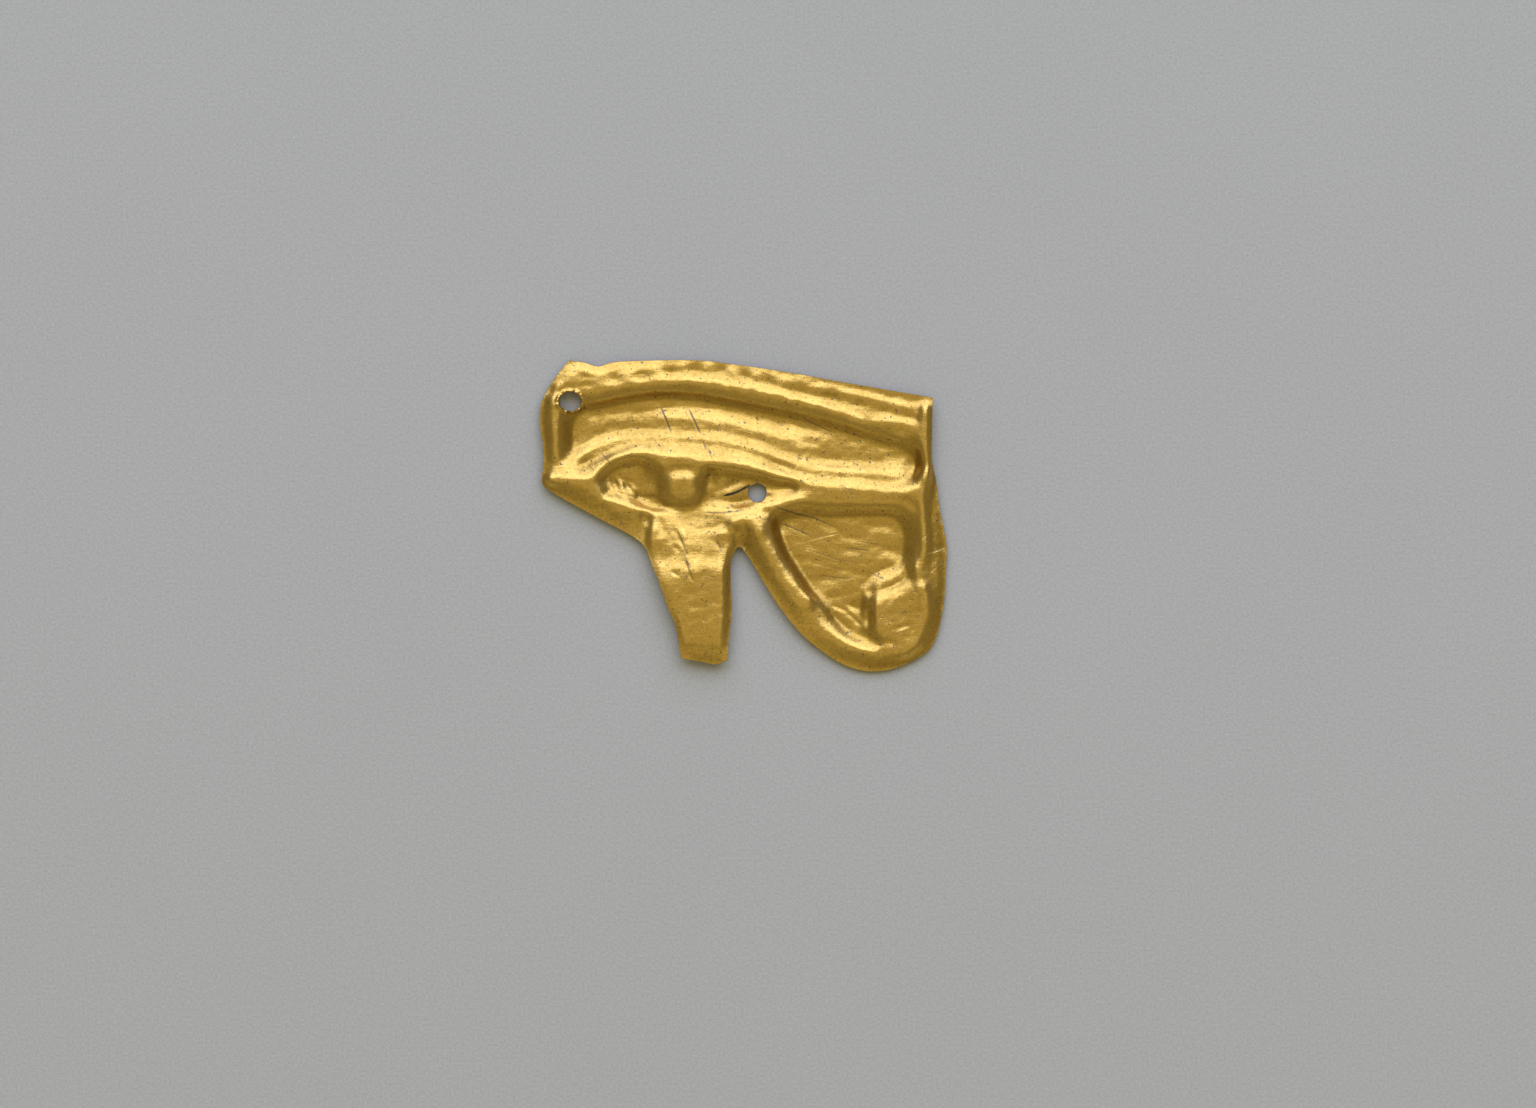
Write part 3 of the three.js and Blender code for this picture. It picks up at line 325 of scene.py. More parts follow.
# The chased lines. The last entry of a closed one is True.
LINES = {
    "brow_edge": ("brow_crest", [
        (42, 920), (77, 916), (111, 906), (138, 900), (160, 913), (185, 912), (210, 925),
        (235, 923), (259, 933), (286, 927), (311, 935), (341, 929), (368, 934), (398, 923),
        (422, 924), (449, 911), (472, 913), (501, 900), (526, 902), (556, 887), (583, 887),
        (610, 872), (637, 871), (664, 854), (689, 853), (719, 835), (743, 834), (770, 817),
        (798, 815), (825, 802), (857, 804), (891, 791), (931, 788),
    ]),
    "wall_break": ("wall_break*3 wall_break_far", [
        (121, 875), (170, 887), (244, 905), (294, 908), (343, 910), (393, 905), (442, 894),
        (491, 883), (541, 871), (590, 859), (640, 844), (714, 820), (763, 801), (812, 785),
        (862, 772), (899, 759),
    ]),
    "brow_lip": ("brow_left brow_lip*3 brow_far", [
        (101, 968), (146, 961), (188, 971), (244, 987), (343, 987), (430, 979), (479, 973),
        (541, 961), (640, 936), (714, 908), (763, 894), (812, 878), (862, 862), (936, 846),
    ]),
    "brow_trough": ("brow_left*3 brow_near brow_trough*6 brow_far*4", [
        (109, 929), (146, 926), (195, 942), (244, 958), (343, 968), (442, 958), (491, 949),
        (541, 936), (640, 899), (714, 868), (763, 849), (812, 836), (862, 823), (923, 814),
    ]),
    "brow_shelf": ("brow_shelf", [
        (669, 944), (726, 924), (763, 915), (812, 902), (862, 887), (941, 868),
    ]),
    "field_top": ("field_floor", [
        (79, 785), (89, 814), (109, 833), (146, 846), (195, 862), (244, 873), (294, 879),
        (343, 879), (393, 871), (442, 860), (491, 847), (541, 833), (590, 820), (640, 807),
        (714, 783), (763, 765), (812, 743), (862, 723), (894, 707),
    ]),
    "field_start": ("field_floor", [
        (158, 839), (244, 847), (343, 854), (417, 850), (491, 839), (541, 822), (590, 807),
        (640, 793), (677, 778),
    ]),
    "field_left": ("field_floor", [
        (79, 785), (81, 746), (81, 723),
    ]),
    "field_break": ("field_end*2 field_side field_break*4 field_end*3", [
        (121, 788), (183, 804), (244, 814), (343, 814), (442, 801), (541, 775), (640, 743),
        (714, 727), (775, 711), (862, 698),
    ]),
    "field_low": ("field_end*3 field_side field_break*6 field_end*4", [
        (89, 717), (116, 743), (146, 764), (244, 778), (343, 777), (442, 768), (504, 752),
        (541, 740), (590, 714), (640, 691), (701, 678), (763, 672), (825, 675), (862, 688),
    ]),
    "ridge": ("ridge_root*2 ridge_left*3 ridge_root ridge*4 ridge_far*6", [
        (89, 688), (116, 714), (146, 735), (195, 749), (244, 754), (343, 751), (442, 743),
        (504, 725), (541, 711), (590, 682), (640, 659), (701, 650), (763, 646), (825, 638),
        (862, 627), (894, 622),
    ]),
    "groove": ("groove_left*4 groove_far groove*3 groove_far*6 pit*2", [
        (111, 678), (146, 717), (195, 740), (244, 748), (343, 741), (442, 730), (504, 711),
        (541, 696), (590, 666), (640, 643), (701, 630), (763, 625), (825, 617), (869, 611),
        (919, 650), (919, 698),
    ]),
    "lid_start": ("groove_left*2 lid_foot*2", [
        (111, 650), (146, 690), (178, 715), (205, 728),
    ]),
    "left_border": ("border*2 arm_dip", [
        (30, 875), (35, 826), (37, 762), (37, 707), (40, 662),
    ]),
    "arm": ("border lid", [
        (20, 617), (47, 617), (81, 616), (121, 624),
    ]),
    "upper_lid": ("lid lid_left*5 lid*5 lid_arm lid_far*5 lid_arm*2 crest*4", [
        (121, 624), (146, 653), (175, 682), (215, 698), (244, 701), (281, 696), (343, 683),
        (393, 670), (442, 669), (491, 661), (541, 646), (590, 627), (640, 611), (701, 596),
        (763, 590), (812, 584), (862, 580), (906, 580), (936, 595), (951, 627), (956, 675),
        (953, 762), (951, 842),
    ]),
    "lower_lid": ("lid_arm lower_lid*2 drop_rise drop_neck lid_low*2 lid_end corner_ridge*5", [
        (111, 614), (146, 569), (195, 542), (244, 524), (281, 511), (343, 505), (393, 508),
        (442, 521), (491, 524), (541, 527), (590, 537), (640, 553), (672, 563),
    ]),
    "eye_floor_left": ("eye_side*3 eye_foot eye_deep*3 eye_foot", [
        (163, 621), (190, 650), (230, 666), (247, 659), (252, 605), (249, 566), (237, 585),
        (200, 601),
    ], True),
    "eye_tilt": ("eye_tilt*2 eye_slope*2", [
        (173, 582), (205, 559), (240, 547), (269, 532),
    ]),
    "eye_shelf": ("eye_shelf", [
        (306, 670), (331, 675), (363, 675), (383, 666),
    ]),
    "eye_fold": ("eye_fold", [
        (316, 654), (343, 658), (370, 654),
    ]),
    "pupil": ("pupil*2 pupil_foot*2", [
        (328, 614), (348, 617), (368, 614), (370, 572), (351, 559), (331, 563),
    ], True),
    "eye_floor_right": ("eye_rise*3 eye_slope eye_side", [
        (435, 621), (452, 629), (504, 617), (560, 598), (615, 595),
    ]),
    "eye_floor_middle": ("eye_side", [
        (442, 595), (467, 601), (499, 614),
    ]),
    "eye_floor_low": ("eye_deep eye_foot eye_slope eye_sill*2 eye_side eye_foot eye_deep", [
        (252, 556), (294, 534), (323, 527), (360, 527), (393, 534), (420, 556), (432, 595),
        (420, 637),
    ]),
    "eye_floor_end": ("eye_side*3", [
        (432, 559), (452, 543), (486, 537),
    ]),
    "tear_lip": ("eye_side tear_lip*3 eye_slope", [
        (447, 572), (479, 590), (511, 611), (541, 614), (560, 598),
    ]),
    "tear_fold": ("eye_side tear_fold*2", [
        (457, 559), (491, 563), (516, 556),
    ]),
    "panel_rim": ("panel_rim", [
        (553, 514), (578, 537), (640, 547), (714, 547), (812, 543), (886, 543), (921, 527),
        (933, 489), (936, 408), (933, 344), (936, 302),
    ]),
    "panel_floor": ("panel_floor", [
        (595, 476), (615, 492), (714, 495), (837, 498), (874, 489), (886, 457), (889, 408),
        (881, 357), (847, 331), (812, 312), (785, 283), (780, 248), (798, 212), (807, 170),
        (790, 193), (765, 222), (728, 219), (696, 235), (669, 270), (642, 328), (610, 392),
        (598, 434),
    ], True),
    "band_crest": ("band_start*3 band_shoulder*2 band_end band_low*4 band_foot band_end", [
        (543, 498), (546, 447), (558, 392), (583, 334), (610, 277), (640, 219), (674, 167),
        (714, 122), (763, 87), (812, 68), (869, 61), (923, 87),
    ]),
    "band_shoulder": ("band_shoulder*3 band_end*2 band_foot", [
        (560, 482), (565, 434), (580, 386), (605, 331), (632, 277), (657, 232),
    ]),
    "step_top": ("step_low*4 step_foot terrace", [
        (684, 206), (714, 183), (743, 161), (770, 125), (798, 103), (830, 87),
    ]),
    "curl_rim": ("band_foot curl_rim*3", [
        (928, 305), (909, 285), (886, 270), (862, 256), (837, 238), (826, 215), (823, 180),
        (832, 135), (854, 100),
    ]),
    "curl_top": ("curl_top", [
        (916, 222), (886, 209), (869, 183), (874, 141), (899, 122), (921, 151),
    ], True),
    "curl_step": ("curl_step*3 curl_low*2", [
        (894, 331), (874, 317), (847, 301), (820, 283), (807, 257),
    ]),
    "curl_groove": ("curl_groove", [
        (901, 315), (879, 296), (852, 280), (827, 260),
    ]),
    "right_border": ("border*8 curl_side*2 band_end", [
        (941, 859), (943, 778), (943, 682), (938, 585), (938, 489), (941, 408), (933, 350),
        (931, 302), (948, 238), (951, 174), (928, 103), (894, 64),
    ]),
    "right_flare": ("flare_break", [
        (963, 553), (968, 457), (970, 360), (975, 264), (970, 183), (946, 103),
    ]),
    "drop_left": ("drop_neck drop_side*2 drop_top*3 drop_end", [
        (294, 492), (279, 441), (281, 373), (299, 302), (326, 215), (346, 141), (356, 84),
    ]),
    "drop_right": ("drop_rise drop_knee drop_top*3 drop_end", [
        (469, 457), (457, 386), (449, 318), (447, 232), (444, 135), (440, 84),
    ]),
    "drop_hollow": ("cheek_edge", [
        (259, 495), (247, 434),
    ]),
    "drop_shoulder": ("drop_rise", [
        (299, 460), (343, 453), (393, 457), (435, 466),
    ]),
    "drop_knee": ("drop_knee", [
        (314, 373), (368, 386), (430, 386),
    ]),
    "drop_middle": ("drop_top*2 drop_end", [
        (368, 315), (380, 232), (398, 84),
    ]),
    "drop_lip": ("drop_lip", [
        (358, 68), (398, 63), (440, 64),
    ]),
    "saddle": ("saddle", [
        (474, 476), (504, 492), (533, 486),
    ]),
}

THREAD_HOLE = (72, 869)
TEAR_HOLE = (533, 576)
SLIT = [(447, 566), (479, 577), (511, 598)]

# Dents left by the hammer, tool and finger, each as its place, half length and half width in
# hundredths of a millimetre, turn in degrees from the X axis, and depth in thousandths of a
# millimetre. A bump has a negative depth.
DENTS = [
    (109, 949, 39, 26, -20, 50), (180, 942, 65, 36, 10, 100), (249, 950, 58, 39, -6, 150),
    (316, 961, 52, 39, -3, 110), (380, 969, 52, 36, -6, 110), (442, 965, 49, 39, -12, 110),
    (499, 952, 52, 39, -25, 120), (558, 932, 62, 42, -22, 140), (635, 908, 68, 46, -22, 140),
    (711, 883, 58, 39, -22, 120), (783, 859, 58, 29, -16, 80), (847, 839, 46, 29, -12, 70),
    (904, 822, 46, 26, -12, 50), (281, 981, 23, 33, -30, -30), (348, 981, 23, 33, -30, -30),
    (412, 981, 23, 33, -30, -30), (469, 971, 23, 33, -35, -30), (528, 952, 23, 33, -35, -30),
    (598, 932, 26, 33, -35, -30), (654, 704, 84, 26, -5, 35), (86, 756, 33, 91, 0, 30),
    (220, 839, 117, 33, 3, 30), (180, 611, 14, 39, 20, 80), (198, 598, 16, 33, 30, -70),
    (212, 598, 16, 33, 35, 90), (230, 585, 16, 33, 35, -70), (240, 569, 16, 33, 40, 80),
    (220, 563, 39, 13, -25, 70), (193, 572, 39, 13, -30, 70), (175, 585, 33, 13, -60, -60),
    (210, 617, 39, 13, -20, 60), (247, 550, 33, 13, -25, 60), (343, 677, 65, 12, 0, 30),
    (314, 672, 33, 12, 30, 30), (373, 675, 26, 12, -40, 30), (301, 370, 46, 78, 0, 50),
    (294, 486, 20, 46, 10, 60), (333, 447, 33, 13, -55, 45), (343, 421, 39, 12, -60, 50),
    (333, 399, 26, 12, -40, 45), (358, 344, 39, 12, -60, 50), (368, 309, 39, 12, -60, 45),
    (331, 318, 26, 13, -40, 40), (437, 408, 33, 13, -55, 40), (405, 167, 33, 13, -60, 35),
    (393, 212, 78, 20, 0, 20), (422, 225, 52, 20, 0, 20), (368, 257, 58, 33, 0, 30),
    (420, 145, 39, 33, 0, -30), (415, 421, 104, 33, 0, 20), (763, 434, 91, 33, -12, 50),
    (711, 469, 78, 26, -10, 40), (800, 447, 65, 33, -12, 30), (768, 389, 78, 26, -10, 30),
    (837, 402, 78, 39, -8, 50), (669, 408, 58, 52, -30, 30), (696, 302, 65, 33, 35, 60),
    (733, 241, 78, 33, 10, 40), (869, 354, 39, 33, -30, -40), (751, 328, 104, 33, -12, 30),
    (654, 453, 58, 39, 0, 30), (825, 473, 91, 26, -8, 25), (793, 312, 65, 26, -12, 25),
    (899, 193, 78, 58, 0, 30), (886, 145, 58, 13, 15, 50), (852, 219, 39, 20, 60, 30),
    (916, 215, 39, 52, 0, -20), (857, 183, 26, 33, 0, 30), (938, 212, 26, 26, 0, -30),
    (763, 215, 39, 16, -30, 50), (743, 203, 33, 12, -30, 40), (765, 180, 33, 12, -40, 50),
    (780, 161, 26, 10, -45, 40), (723, 212, 26, 10, -20, 40), (765, 582, 58, 13, -38, 60),
    (753, 593, 52, 13, -38, -50), (494, 447, 58, 58, 0, 50), (220, 482, 58, 26, -35, 40),
    (146, 537, 78, 33, -30, 30), (195, 508, 65, 26, -30, -30), (104, 672, 58, 20, 25, 30),
    (54, 695, 33, 58, 0, 30), (77, 974, 58, 26, 0, -20), (52, 939, 39, 26, 30, 30),
    (111, 920, 46, 26, 10, 50), (985, 399, 52, 20, -15, 40), (980, 232, 26, 91, 0, 30),
    (956, 264, 33, 39, 0, 30), (867, 275, 104, 23, 24, 120), (810, 260, 39, 33, 0, 100),
    (800, 193, 98, 26, 88, -140), (696, 196, 84, 33, -44, -200), (412, 508, 84, 46, 0, 100),
    (479, 952, 91, 39, -6, -50), (553, 939, 91, 39, -12, -70), (632, 920, 84, 39, -14, -100),
    (689, 910, 65, 33, -14, -70), (746, 900, 91, 33, -15, -60), (820, 878, 91, 33, -14, -60),
    (886, 855, 78, 33, -14, -60), (788, 823, 117, 33, -14, 80), (894, 785, 65, 39, -10, 80),
    (54, 955, 58, 46, 20, -50), (62, 904, 58, 52, 0, 160), (442, 823, 104, 39, -8, 40),
    (516, 801, 104, 39, -13, 60), (590, 772, 91, 39, -17, 90), (654, 743, 78, 39, -16, 100),
    (795, 752, 117, 39, -14, -30), (881, 717, 78, 39, -18, -60), (126, 727, 78, 46, 30, 70),
    (111, 672, 65, 33, 25, 30), (123, 659, 84, 26, 32, -130), (153, 746, 65, 33, 20, 40),
    (64, 682, 58, 46, 0, 80), (286, 605, 46, 130, 0, 120), (168, 579, 58, 39, 30, 140),
    (405, 598, 46, 104, 0, 130), (269, 543, 78, 33, -15, 340), (407, 553, 39, 46, -40, 120),
    (343, 556, 91, 52, 0, 50), (405, 633, 91, 33, 0, -70), (299, 662, 52, 26, 0, -50),
    (467, 601, 58, 26, 25, 80), (501, 543, 72, 33, 0, 140), (556, 556, 72, 33, 0, 160),
    (640, 595, 65, 33, -30, 50), (640, 550, 91, 33, -8, -60), (402, 492, 195, 78, 0, 200),
    (491, 508, 117, 39, -5, 60), (494, 431, 46, 78, 0, 220), (452, 447, 58, 46, 0, -100),
    (533, 450, 52, 52, 0, -120), (259, 502, 46, 46, 0, 100), (393, 338, 156, 58, 0, -50),
    (583, 479, 58, 91, -20, 200), (837, 466, 98, 33, -5, 40), (867, 389, 52, 33, 0, 50),
    (719, 299, 58, 33, 20, 50), (775, 219, 46, 39, 0, 60), (709, 190, 104, 26, -38, 160),
    (746, 141, 65, 29, -32, 80), (852, 315, 104, 33, 18, 80), (867, 257, 98, 33, 22, 90),
    (805, 286, 46, 26, 20, 50), (817, 96, 91, 33, -20, -60), (681, 215, 98, 52, -44, -280),
    (778, 203, 39, 26, 0, 60), (854, 96, 72, 26, -8, 70), (600, 354, 143, 29, -60, 60),
    (933, 669, 52, 52, 0, 200), (941, 318, 46, 39, 0, -60),
]

# Scratches, each as its strength and its places. Dark ones hold soil; bright ones are negative and
# carry a painted glint.
SCRATCHES = [
    (0.9, [(294, 855), (306, 817), (321, 768)]), (0.9, [(363, 849), (378, 807), (393, 762)]),
    (0.5, [(398, 743), (407, 714)]), (0.4, [(412, 720), (422, 685)]),
    (0.35, [(222, 830), (225, 797)]), (0.5, [(640, 820), (659, 807), (726, 765)]),
    (0.6, [(560, 540), (615, 514), (677, 492), (733, 460)]),
    (0.6, [(578, 482), (620, 463), (669, 434)]), (0.4, [(637, 450), (654, 473)]),
    (-0.7, [(642, 415), (694, 434), (741, 447)]), (0.5, [(751, 399), (815, 389)]),
    (0.45, [(684, 312), (765, 296)]), (0.4, [(802, 325), (849, 296)]),
    (0.35, [(654, 395), (738, 360), (793, 350)]), (0.3, [(669, 350), (758, 325)]),
    (0.35, [(775, 421), (837, 408)]), (-0.8, [(941, 373), (1000, 402)]),
    (-0.5, [(956, 318), (993, 357)]), (-0.6, [(938, 424), (956, 447)]),
    (-0.5, [(916, 264), (931, 244)]), (0.5, [(741, 601), (775, 563)]),
    (0.4, [(146, 707), (175, 662)]), (-0.4, [(281, 678), (314, 695)]),
    (0.5, [(333, 466), (346, 424), (363, 373)]), (0.4, [(351, 383), (365, 328), (378, 286)]),
    (-0.4, [(346, 466), (358, 434)]), (-0.4, [(321, 322), (341, 305)]),
    (0.4, [(400, 174), (412, 138)]), (0.4, [(432, 424), (447, 383)]),
    (0.4, [(195, 489), (205, 466)]), (-0.4, [(869, 129), (909, 148)]),
    (0.3, [(528, 498), (560, 486)]), (0.4, [(393, 514), (442, 511), (511, 524)]),
    (-0.35, [(175, 617), (200, 595), (230, 588)]),
]


def on_sheet(places, sheet):
    """Places in metres from the lower left corner: thousandths times the width and height."""
    return np.array(places) / 1000 * (sheet.width, sheet.height)


def unit(vectors):
    """The vectors over their lengths."""
    return vectors / np.linalg.norm(vectors, axis=1, keepdims=True)


def smooth_curve(points, closed=False):
    """A centripetal Catmull-Rom curve. Over each span it is the cubic that leaves and arrives along
    the mean of the two neighbouring slopes, each slope taken over the square root of its length."""
    if closed:
        chain = np.concatenate([points[-1:], points, points[:2]])
    else:
        first, last = 2 * points[:1] - points[1:2], 2 * points[-1:] - points[-2:-1]
        chain = np.concatenate([first, points, last])
    a, b, c, d = (chain[k : len(chain) - 3 + k, None] for k in range(4))
    root = lambda start, end: np.maximum(
        np.linalg.norm(end - start, axis=-1, keepdims=True) ** 0.5, 1e-6
    )
    before, here, after = root(a, b), root(b, c), root(c, d)
    leave = ((b - a) / before - (c - a) / (before + here) + (c - b) / here) * here
    arrive = ((c - b) / here - (d - b) / (here + after) + (d - c) / after) * here
    t = np.linspace(0, 1, SPAN_STEPS, endpoint=False)[None, :, None]
    curve = (
        b * (2 * t**3 - 3 * t**2 + 1)
        + leave * (t**3 - 2 * t**2 + t)
        + c * (3 * t**2 - 2 * t**3)
        + arrive * (t**3 - t**2)
    ).reshape(-1, points.shape[1])
    return curve if closed else np.concatenate([curve, points[-1:]])


def evenly(curve, step, closed=False):
    """The curve's points again, but at equal distances in plan, no more than step apart."""
    if closed:
        curve = np.concatenate([curve, curve[:1]])
    run = np.concatenate([[0], np.cumsum(np.linalg.norm(np.diff(curve[:, :2], axis=0), axis=1))])
    along = np.linspace(0, run[-1], max(2, math.ceil(run[-1] / step) + 1))
    return np.stack([np.interp(along, run, column) for column in curve.T], axis=1)


def chased(line, sheet, heights):
    """The curve of a chased line in metres, and whether it is closed: its points stand over its
    places, at levels read off evenly along its list of heights."""
    names, places, *closed = line
    levels = []
    for word in names.split():
        name, _, times = word.partition("*")
        levels += [getattr(heights, name)] * int(times or 1)
    where = np.linspace(0, len(levels) - 1, len(places))
    z = np.interp(where, range(len(levels)), levels)
    return smooth_curve(np.column_stack([on_sheet(places, sheet), z]), bool(closed)), bool(closed)


class Lattice:
    """A square lattice of nodes over the sheet and its margin."""

    def __init__(self, sheet, spacing):
        self.spacing = spacing
        self.low = -sheet.margin
        self.columns = math.ceil((sheet.width + 2 * sheet.margin) / spacing) + 1
        self.rows = math.ceil((sheet.height + 2 * sheet.margin) / spacing) + 1
        self.shape = (self.rows, self.columns)
        self.x = self.low + np.arange(self.columns) * spacing
        self.y = self.low + np.arange(self.rows) * spacing

    def nearest(self, samples, reach):
        """The nodes within reach of the samples: their numbers, each one's nearest sample, the
        distance from it, and the step from it to the node."""
        span = math.ceil(reach / self.spacing)
        around = np.arange(-span, span + 1)
        column, row = np.round((samples[:, :2].T - self.low) / self.spacing).astype(int)
        i, j = np.broadcast_arrays(
            column[:, None, None] + around[None, :], row[:, None, None] + around[:, None]
        )
        sample = np.broadcast_to(np.arange(len(samples))[:, None, None], i.shape)
        inside = (i >= 0) & (i < self.columns) & (j >= 0) & (j < self.rows)
        i, j, sample = i[inside], j[inside], sample[inside]
        step = np.column_stack([self.x[i], self.y[j]]) - samples[sample, :2]
        away = np.hypot(*step.T)
        order = np.argsort(away, kind="stable")
        node, first = np.unique((j * self.columns + i)[order], return_index=True)
        best = order[first]
        near = away[best] <= reach
        best = best[near]
        return node[near], sample[best], away[best], step[best]

    def read(self, coarse, field):
        """A coarser lattice's field at these nodes: each cell's four corners, by nearness."""
        column = np.clip((self.x - coarse.low) / coarse.spacing, 0, coarse.columns - 1.001)
        row = np.clip((self.y - coarse.low) / coarse.spacing, 0, coarse.rows - 1.001)
        i, j = column.astype(int), row.astype(int)
        u, v = (column - i)[None, :], (row - j)[:, None]
        lower = field[j][:, i] * (1 - u) + field[j][:, i + 1] * u
        upper = field[j + 1][:, i] * (1 - u) + field[j + 1][:, i + 1] * u
        return lower * (1 - v) + upper * v


def grips(lattice, curves, sheet):
    """How firmly the lines hold each node, and that times the height they hold it at: each line
    grips by the grip times exp(-(distance / tool radius) squared)."""
    grip = np.zeros(lattice.rows * lattice.columns)
    pull = np.zeros_like(grip)
    radius = max(sheet.tool_radius, lattice.spacing)
    for curve, closed in curves:
        samples = evenly(curve, lattice.spacing / 2, closed)
        node, sample, away, _ = lattice.nearest(samples, GRIP_REACH * radius)
        hold = sheet.grip * np.exp(-((away / radius) ** 2))
        grip[node] += hold
        pull[node] += hold * samples[sample, 2]
    return grip.reshape(lattice.shape), pull.reshape(lattice.shape)


def settled(height, grip, pull):
    """The stretched sheet: each node comes to rest at the mean of its four neighbours,
    pulled to its lines: (mean + pull) / (1 + grip). Nodes are moved in turns, as on a chessboard,
    and past their balance where nothing grips them, so that the whole comes to rest sooner."""
    rows, columns = height.shape
    dark = (np.arange(rows)[:, None] + np.arange(columns)[None, :]) % 2 == 0
    hasten = np.where(grip > 1, 1.0, HASTE)
    for _ in range(SWEEPS):
        for turn in (dark, ~dark):
            padded = np.pad(height, 1, mode="edge")
            around = padded[:-2, 1:-1] + padded[2:, 1:-1] + padded[1:-1, :-2] + padded[1:-1, 2:]
            balance = (around / 4 + pull) / (1 + grip)
            height = np.where(turn, height + (balance - height) * hasten, height)
    return height


def softened(field, sigma):
    """The field's mean under a bell curve of the given sigma, in nodes, along rows and columns."""
    reach = math.ceil(BELL_REACH * sigma)
    bell = np.exp(-0.5 * (np.arange(-reach, reach + 1) / sigma) ** 2)
    bell /= bell.sum()
    for _ in range(2):
        padded = np.pad(field, ((reach, reach), (0, 0)), mode="edge")
        field = sum(b * padded[k : k + len(field)] for k, b in enumerate(bell)).T
    return field


def stretched(curves, sheet):
    """The lattice and the sheet's height over it: stretched over the lines from coarse to fine,
    softened by the sheet's bend, and pressed flat where it meets the bench."""
    coarse = height = None
    for factor in COARSENESS:
        lattice = Lattice(sheet, sheet.spacing * factor)
        grip, pull = grips(lattice, curves, sheet)
        if coarse:
            start = lattice.read(coarse, height)
        else:
            start = np.full(lattice.shape, pull.sum() / grip.sum())
        height, coarse = settled(start, grip, pull), lattice
    height = softened(height, sheet.bend / lattice.spacing)
    return lattice, np.maximum(height - sheet.pressed, 0)


def side_of(lattice, loops):
    """Which nodes lie inside the loops: those with an odd number of crossings to their left."""
    crossings = np.zeros(lattice.shape, int)
    for loop in loops:
        ends = np.roll(loop, -1, axis=0)
        low = np.floor((loop[:, 1] - lattice.low) / lattice.spacing)
        high = np.floor((ends[:, 1] - lattice.low) / lattice.spacing)
        crossed = low != high
        start, end = loop[crossed], ends[crossed]
        row = np.maximum(low, high)[crossed].astype(int)
        share_along = (lattice.y[row] - start[:, 1]) / (end[:, 1] - start[:, 1])
        x = start[:, 0] + share_along * (end[:, 0] - start[:, 0])
        column = np.ceil((x - lattice.low) / lattice.spacing).astype(int)
        np.add.at(crossings, (row, column), 1)
    return np.cumsum(crossings, axis=1) % 2 == 1


def depth_inside(lattice, loops):
    """Distance from the cut edge, positive inside: to the line through the nearest point of the
    edge and along it. Nodes far from the edge keep a plain large value of the right sign."""
    reach = EDGE_REACH * lattice.spacing
    forward = unit(
        np.concatenate([np.roll(loop, -1, axis=0) - np.roll(loop, 1, axis=0) for loop in loops])
    )
    node, sample, _, step = lattice.nearest(np.concatenate(loops), reach)
    across = np.abs(step[:, 0] * forward[sample, 1] - step[:, 1] * forward[sample, 0])
    depth = np.where(side_of(lattice, loops), 1.0, -1.0) * reach
    flat = depth.ravel()
    flat[node] = np.sign(flat[node]) * np.maximum(across, LEAST_DEPTH)
    return depth


class CutMesh:
    """The lattice cut along the line where a depth is zero. Cells keep their inside corners and the
    points where their sides cross the line; a side's crossing lies where the depth, taken as
    straight along it, is zero."""

    def __init__(self, depth):
        self.inside = inside = depth > 0
        self.sides = []
        for here, there in (
            (np.s_[:, :-1], np.s_[:, 1:]),
            (np.s_[:-1, :], np.s_[1:, :]),
        ):
            crossed = inside[here] != inside[there]
            way = depth[here][crossed] / (depth[here][crossed] - depth[there][crossed])
            self.sides.append((here, there, crossed, np.clip(way, SNAP, 1 - SNAP)))
        self.count = 0
        nodes, flat, upright = (self.numbered(m) for m in (inside, *(s[2] for s in self.sides)))
        corners = [nodes[:-1, :-1], nodes[:-1, 1:], nodes[1:, 1:], nodes[1:, :-1]]
        crossings = [flat[:-1], upright[:, 1:], flat[1:], upright[:, :-1]]
        pattern = sum((corner >= 0) * 2**k for k, corner in enumerate(corners))
        self.polygons, rim = [], []
        for case in range(1, 16):
            chosen = pattern == case
            if not chosen.any():
                continue
            ring, is_crossing = [], []
            for k in range(4):
                if case >> k & 1:
                    ring.append(corners[k][chosen])
                    is_crossing.append(False)
                if (case >> k & 1) != (case >> (k + 1) % 4 & 1):
                    ring.append(crossings[k][chosen])
                    is_crossing.append(True)
            self.polygons.append(np.column_stack(ring))
            for k in range(len(ring)):
                following = (k + 1) % len(ring)
                if is_crossing[k] and is_crossing[following]:
                    rim.append(np.column_stack([ring[k], ring[following]]))
        self.rim = np.concatenate(rim)

    def numbered(self, mask):
        """Numbers for the marked places, going on from the last number given, and -1 elsewhere."""
        numbers = np.where(mask, self.count - 1 + np.cumsum(mask).reshape(mask.shape), -1)
        self.count += mask.sum()
        return numbers

    def at_points(self, field):
        """A field of the lattice at the mesh's points."""
        parts = [field[self.inside]]
        for here, there, crossed, way in self.sides:
            parts.append(field[here][crossed] * (1 - way) + field[there][crossed] * way)
        return np.concatenate(parts)


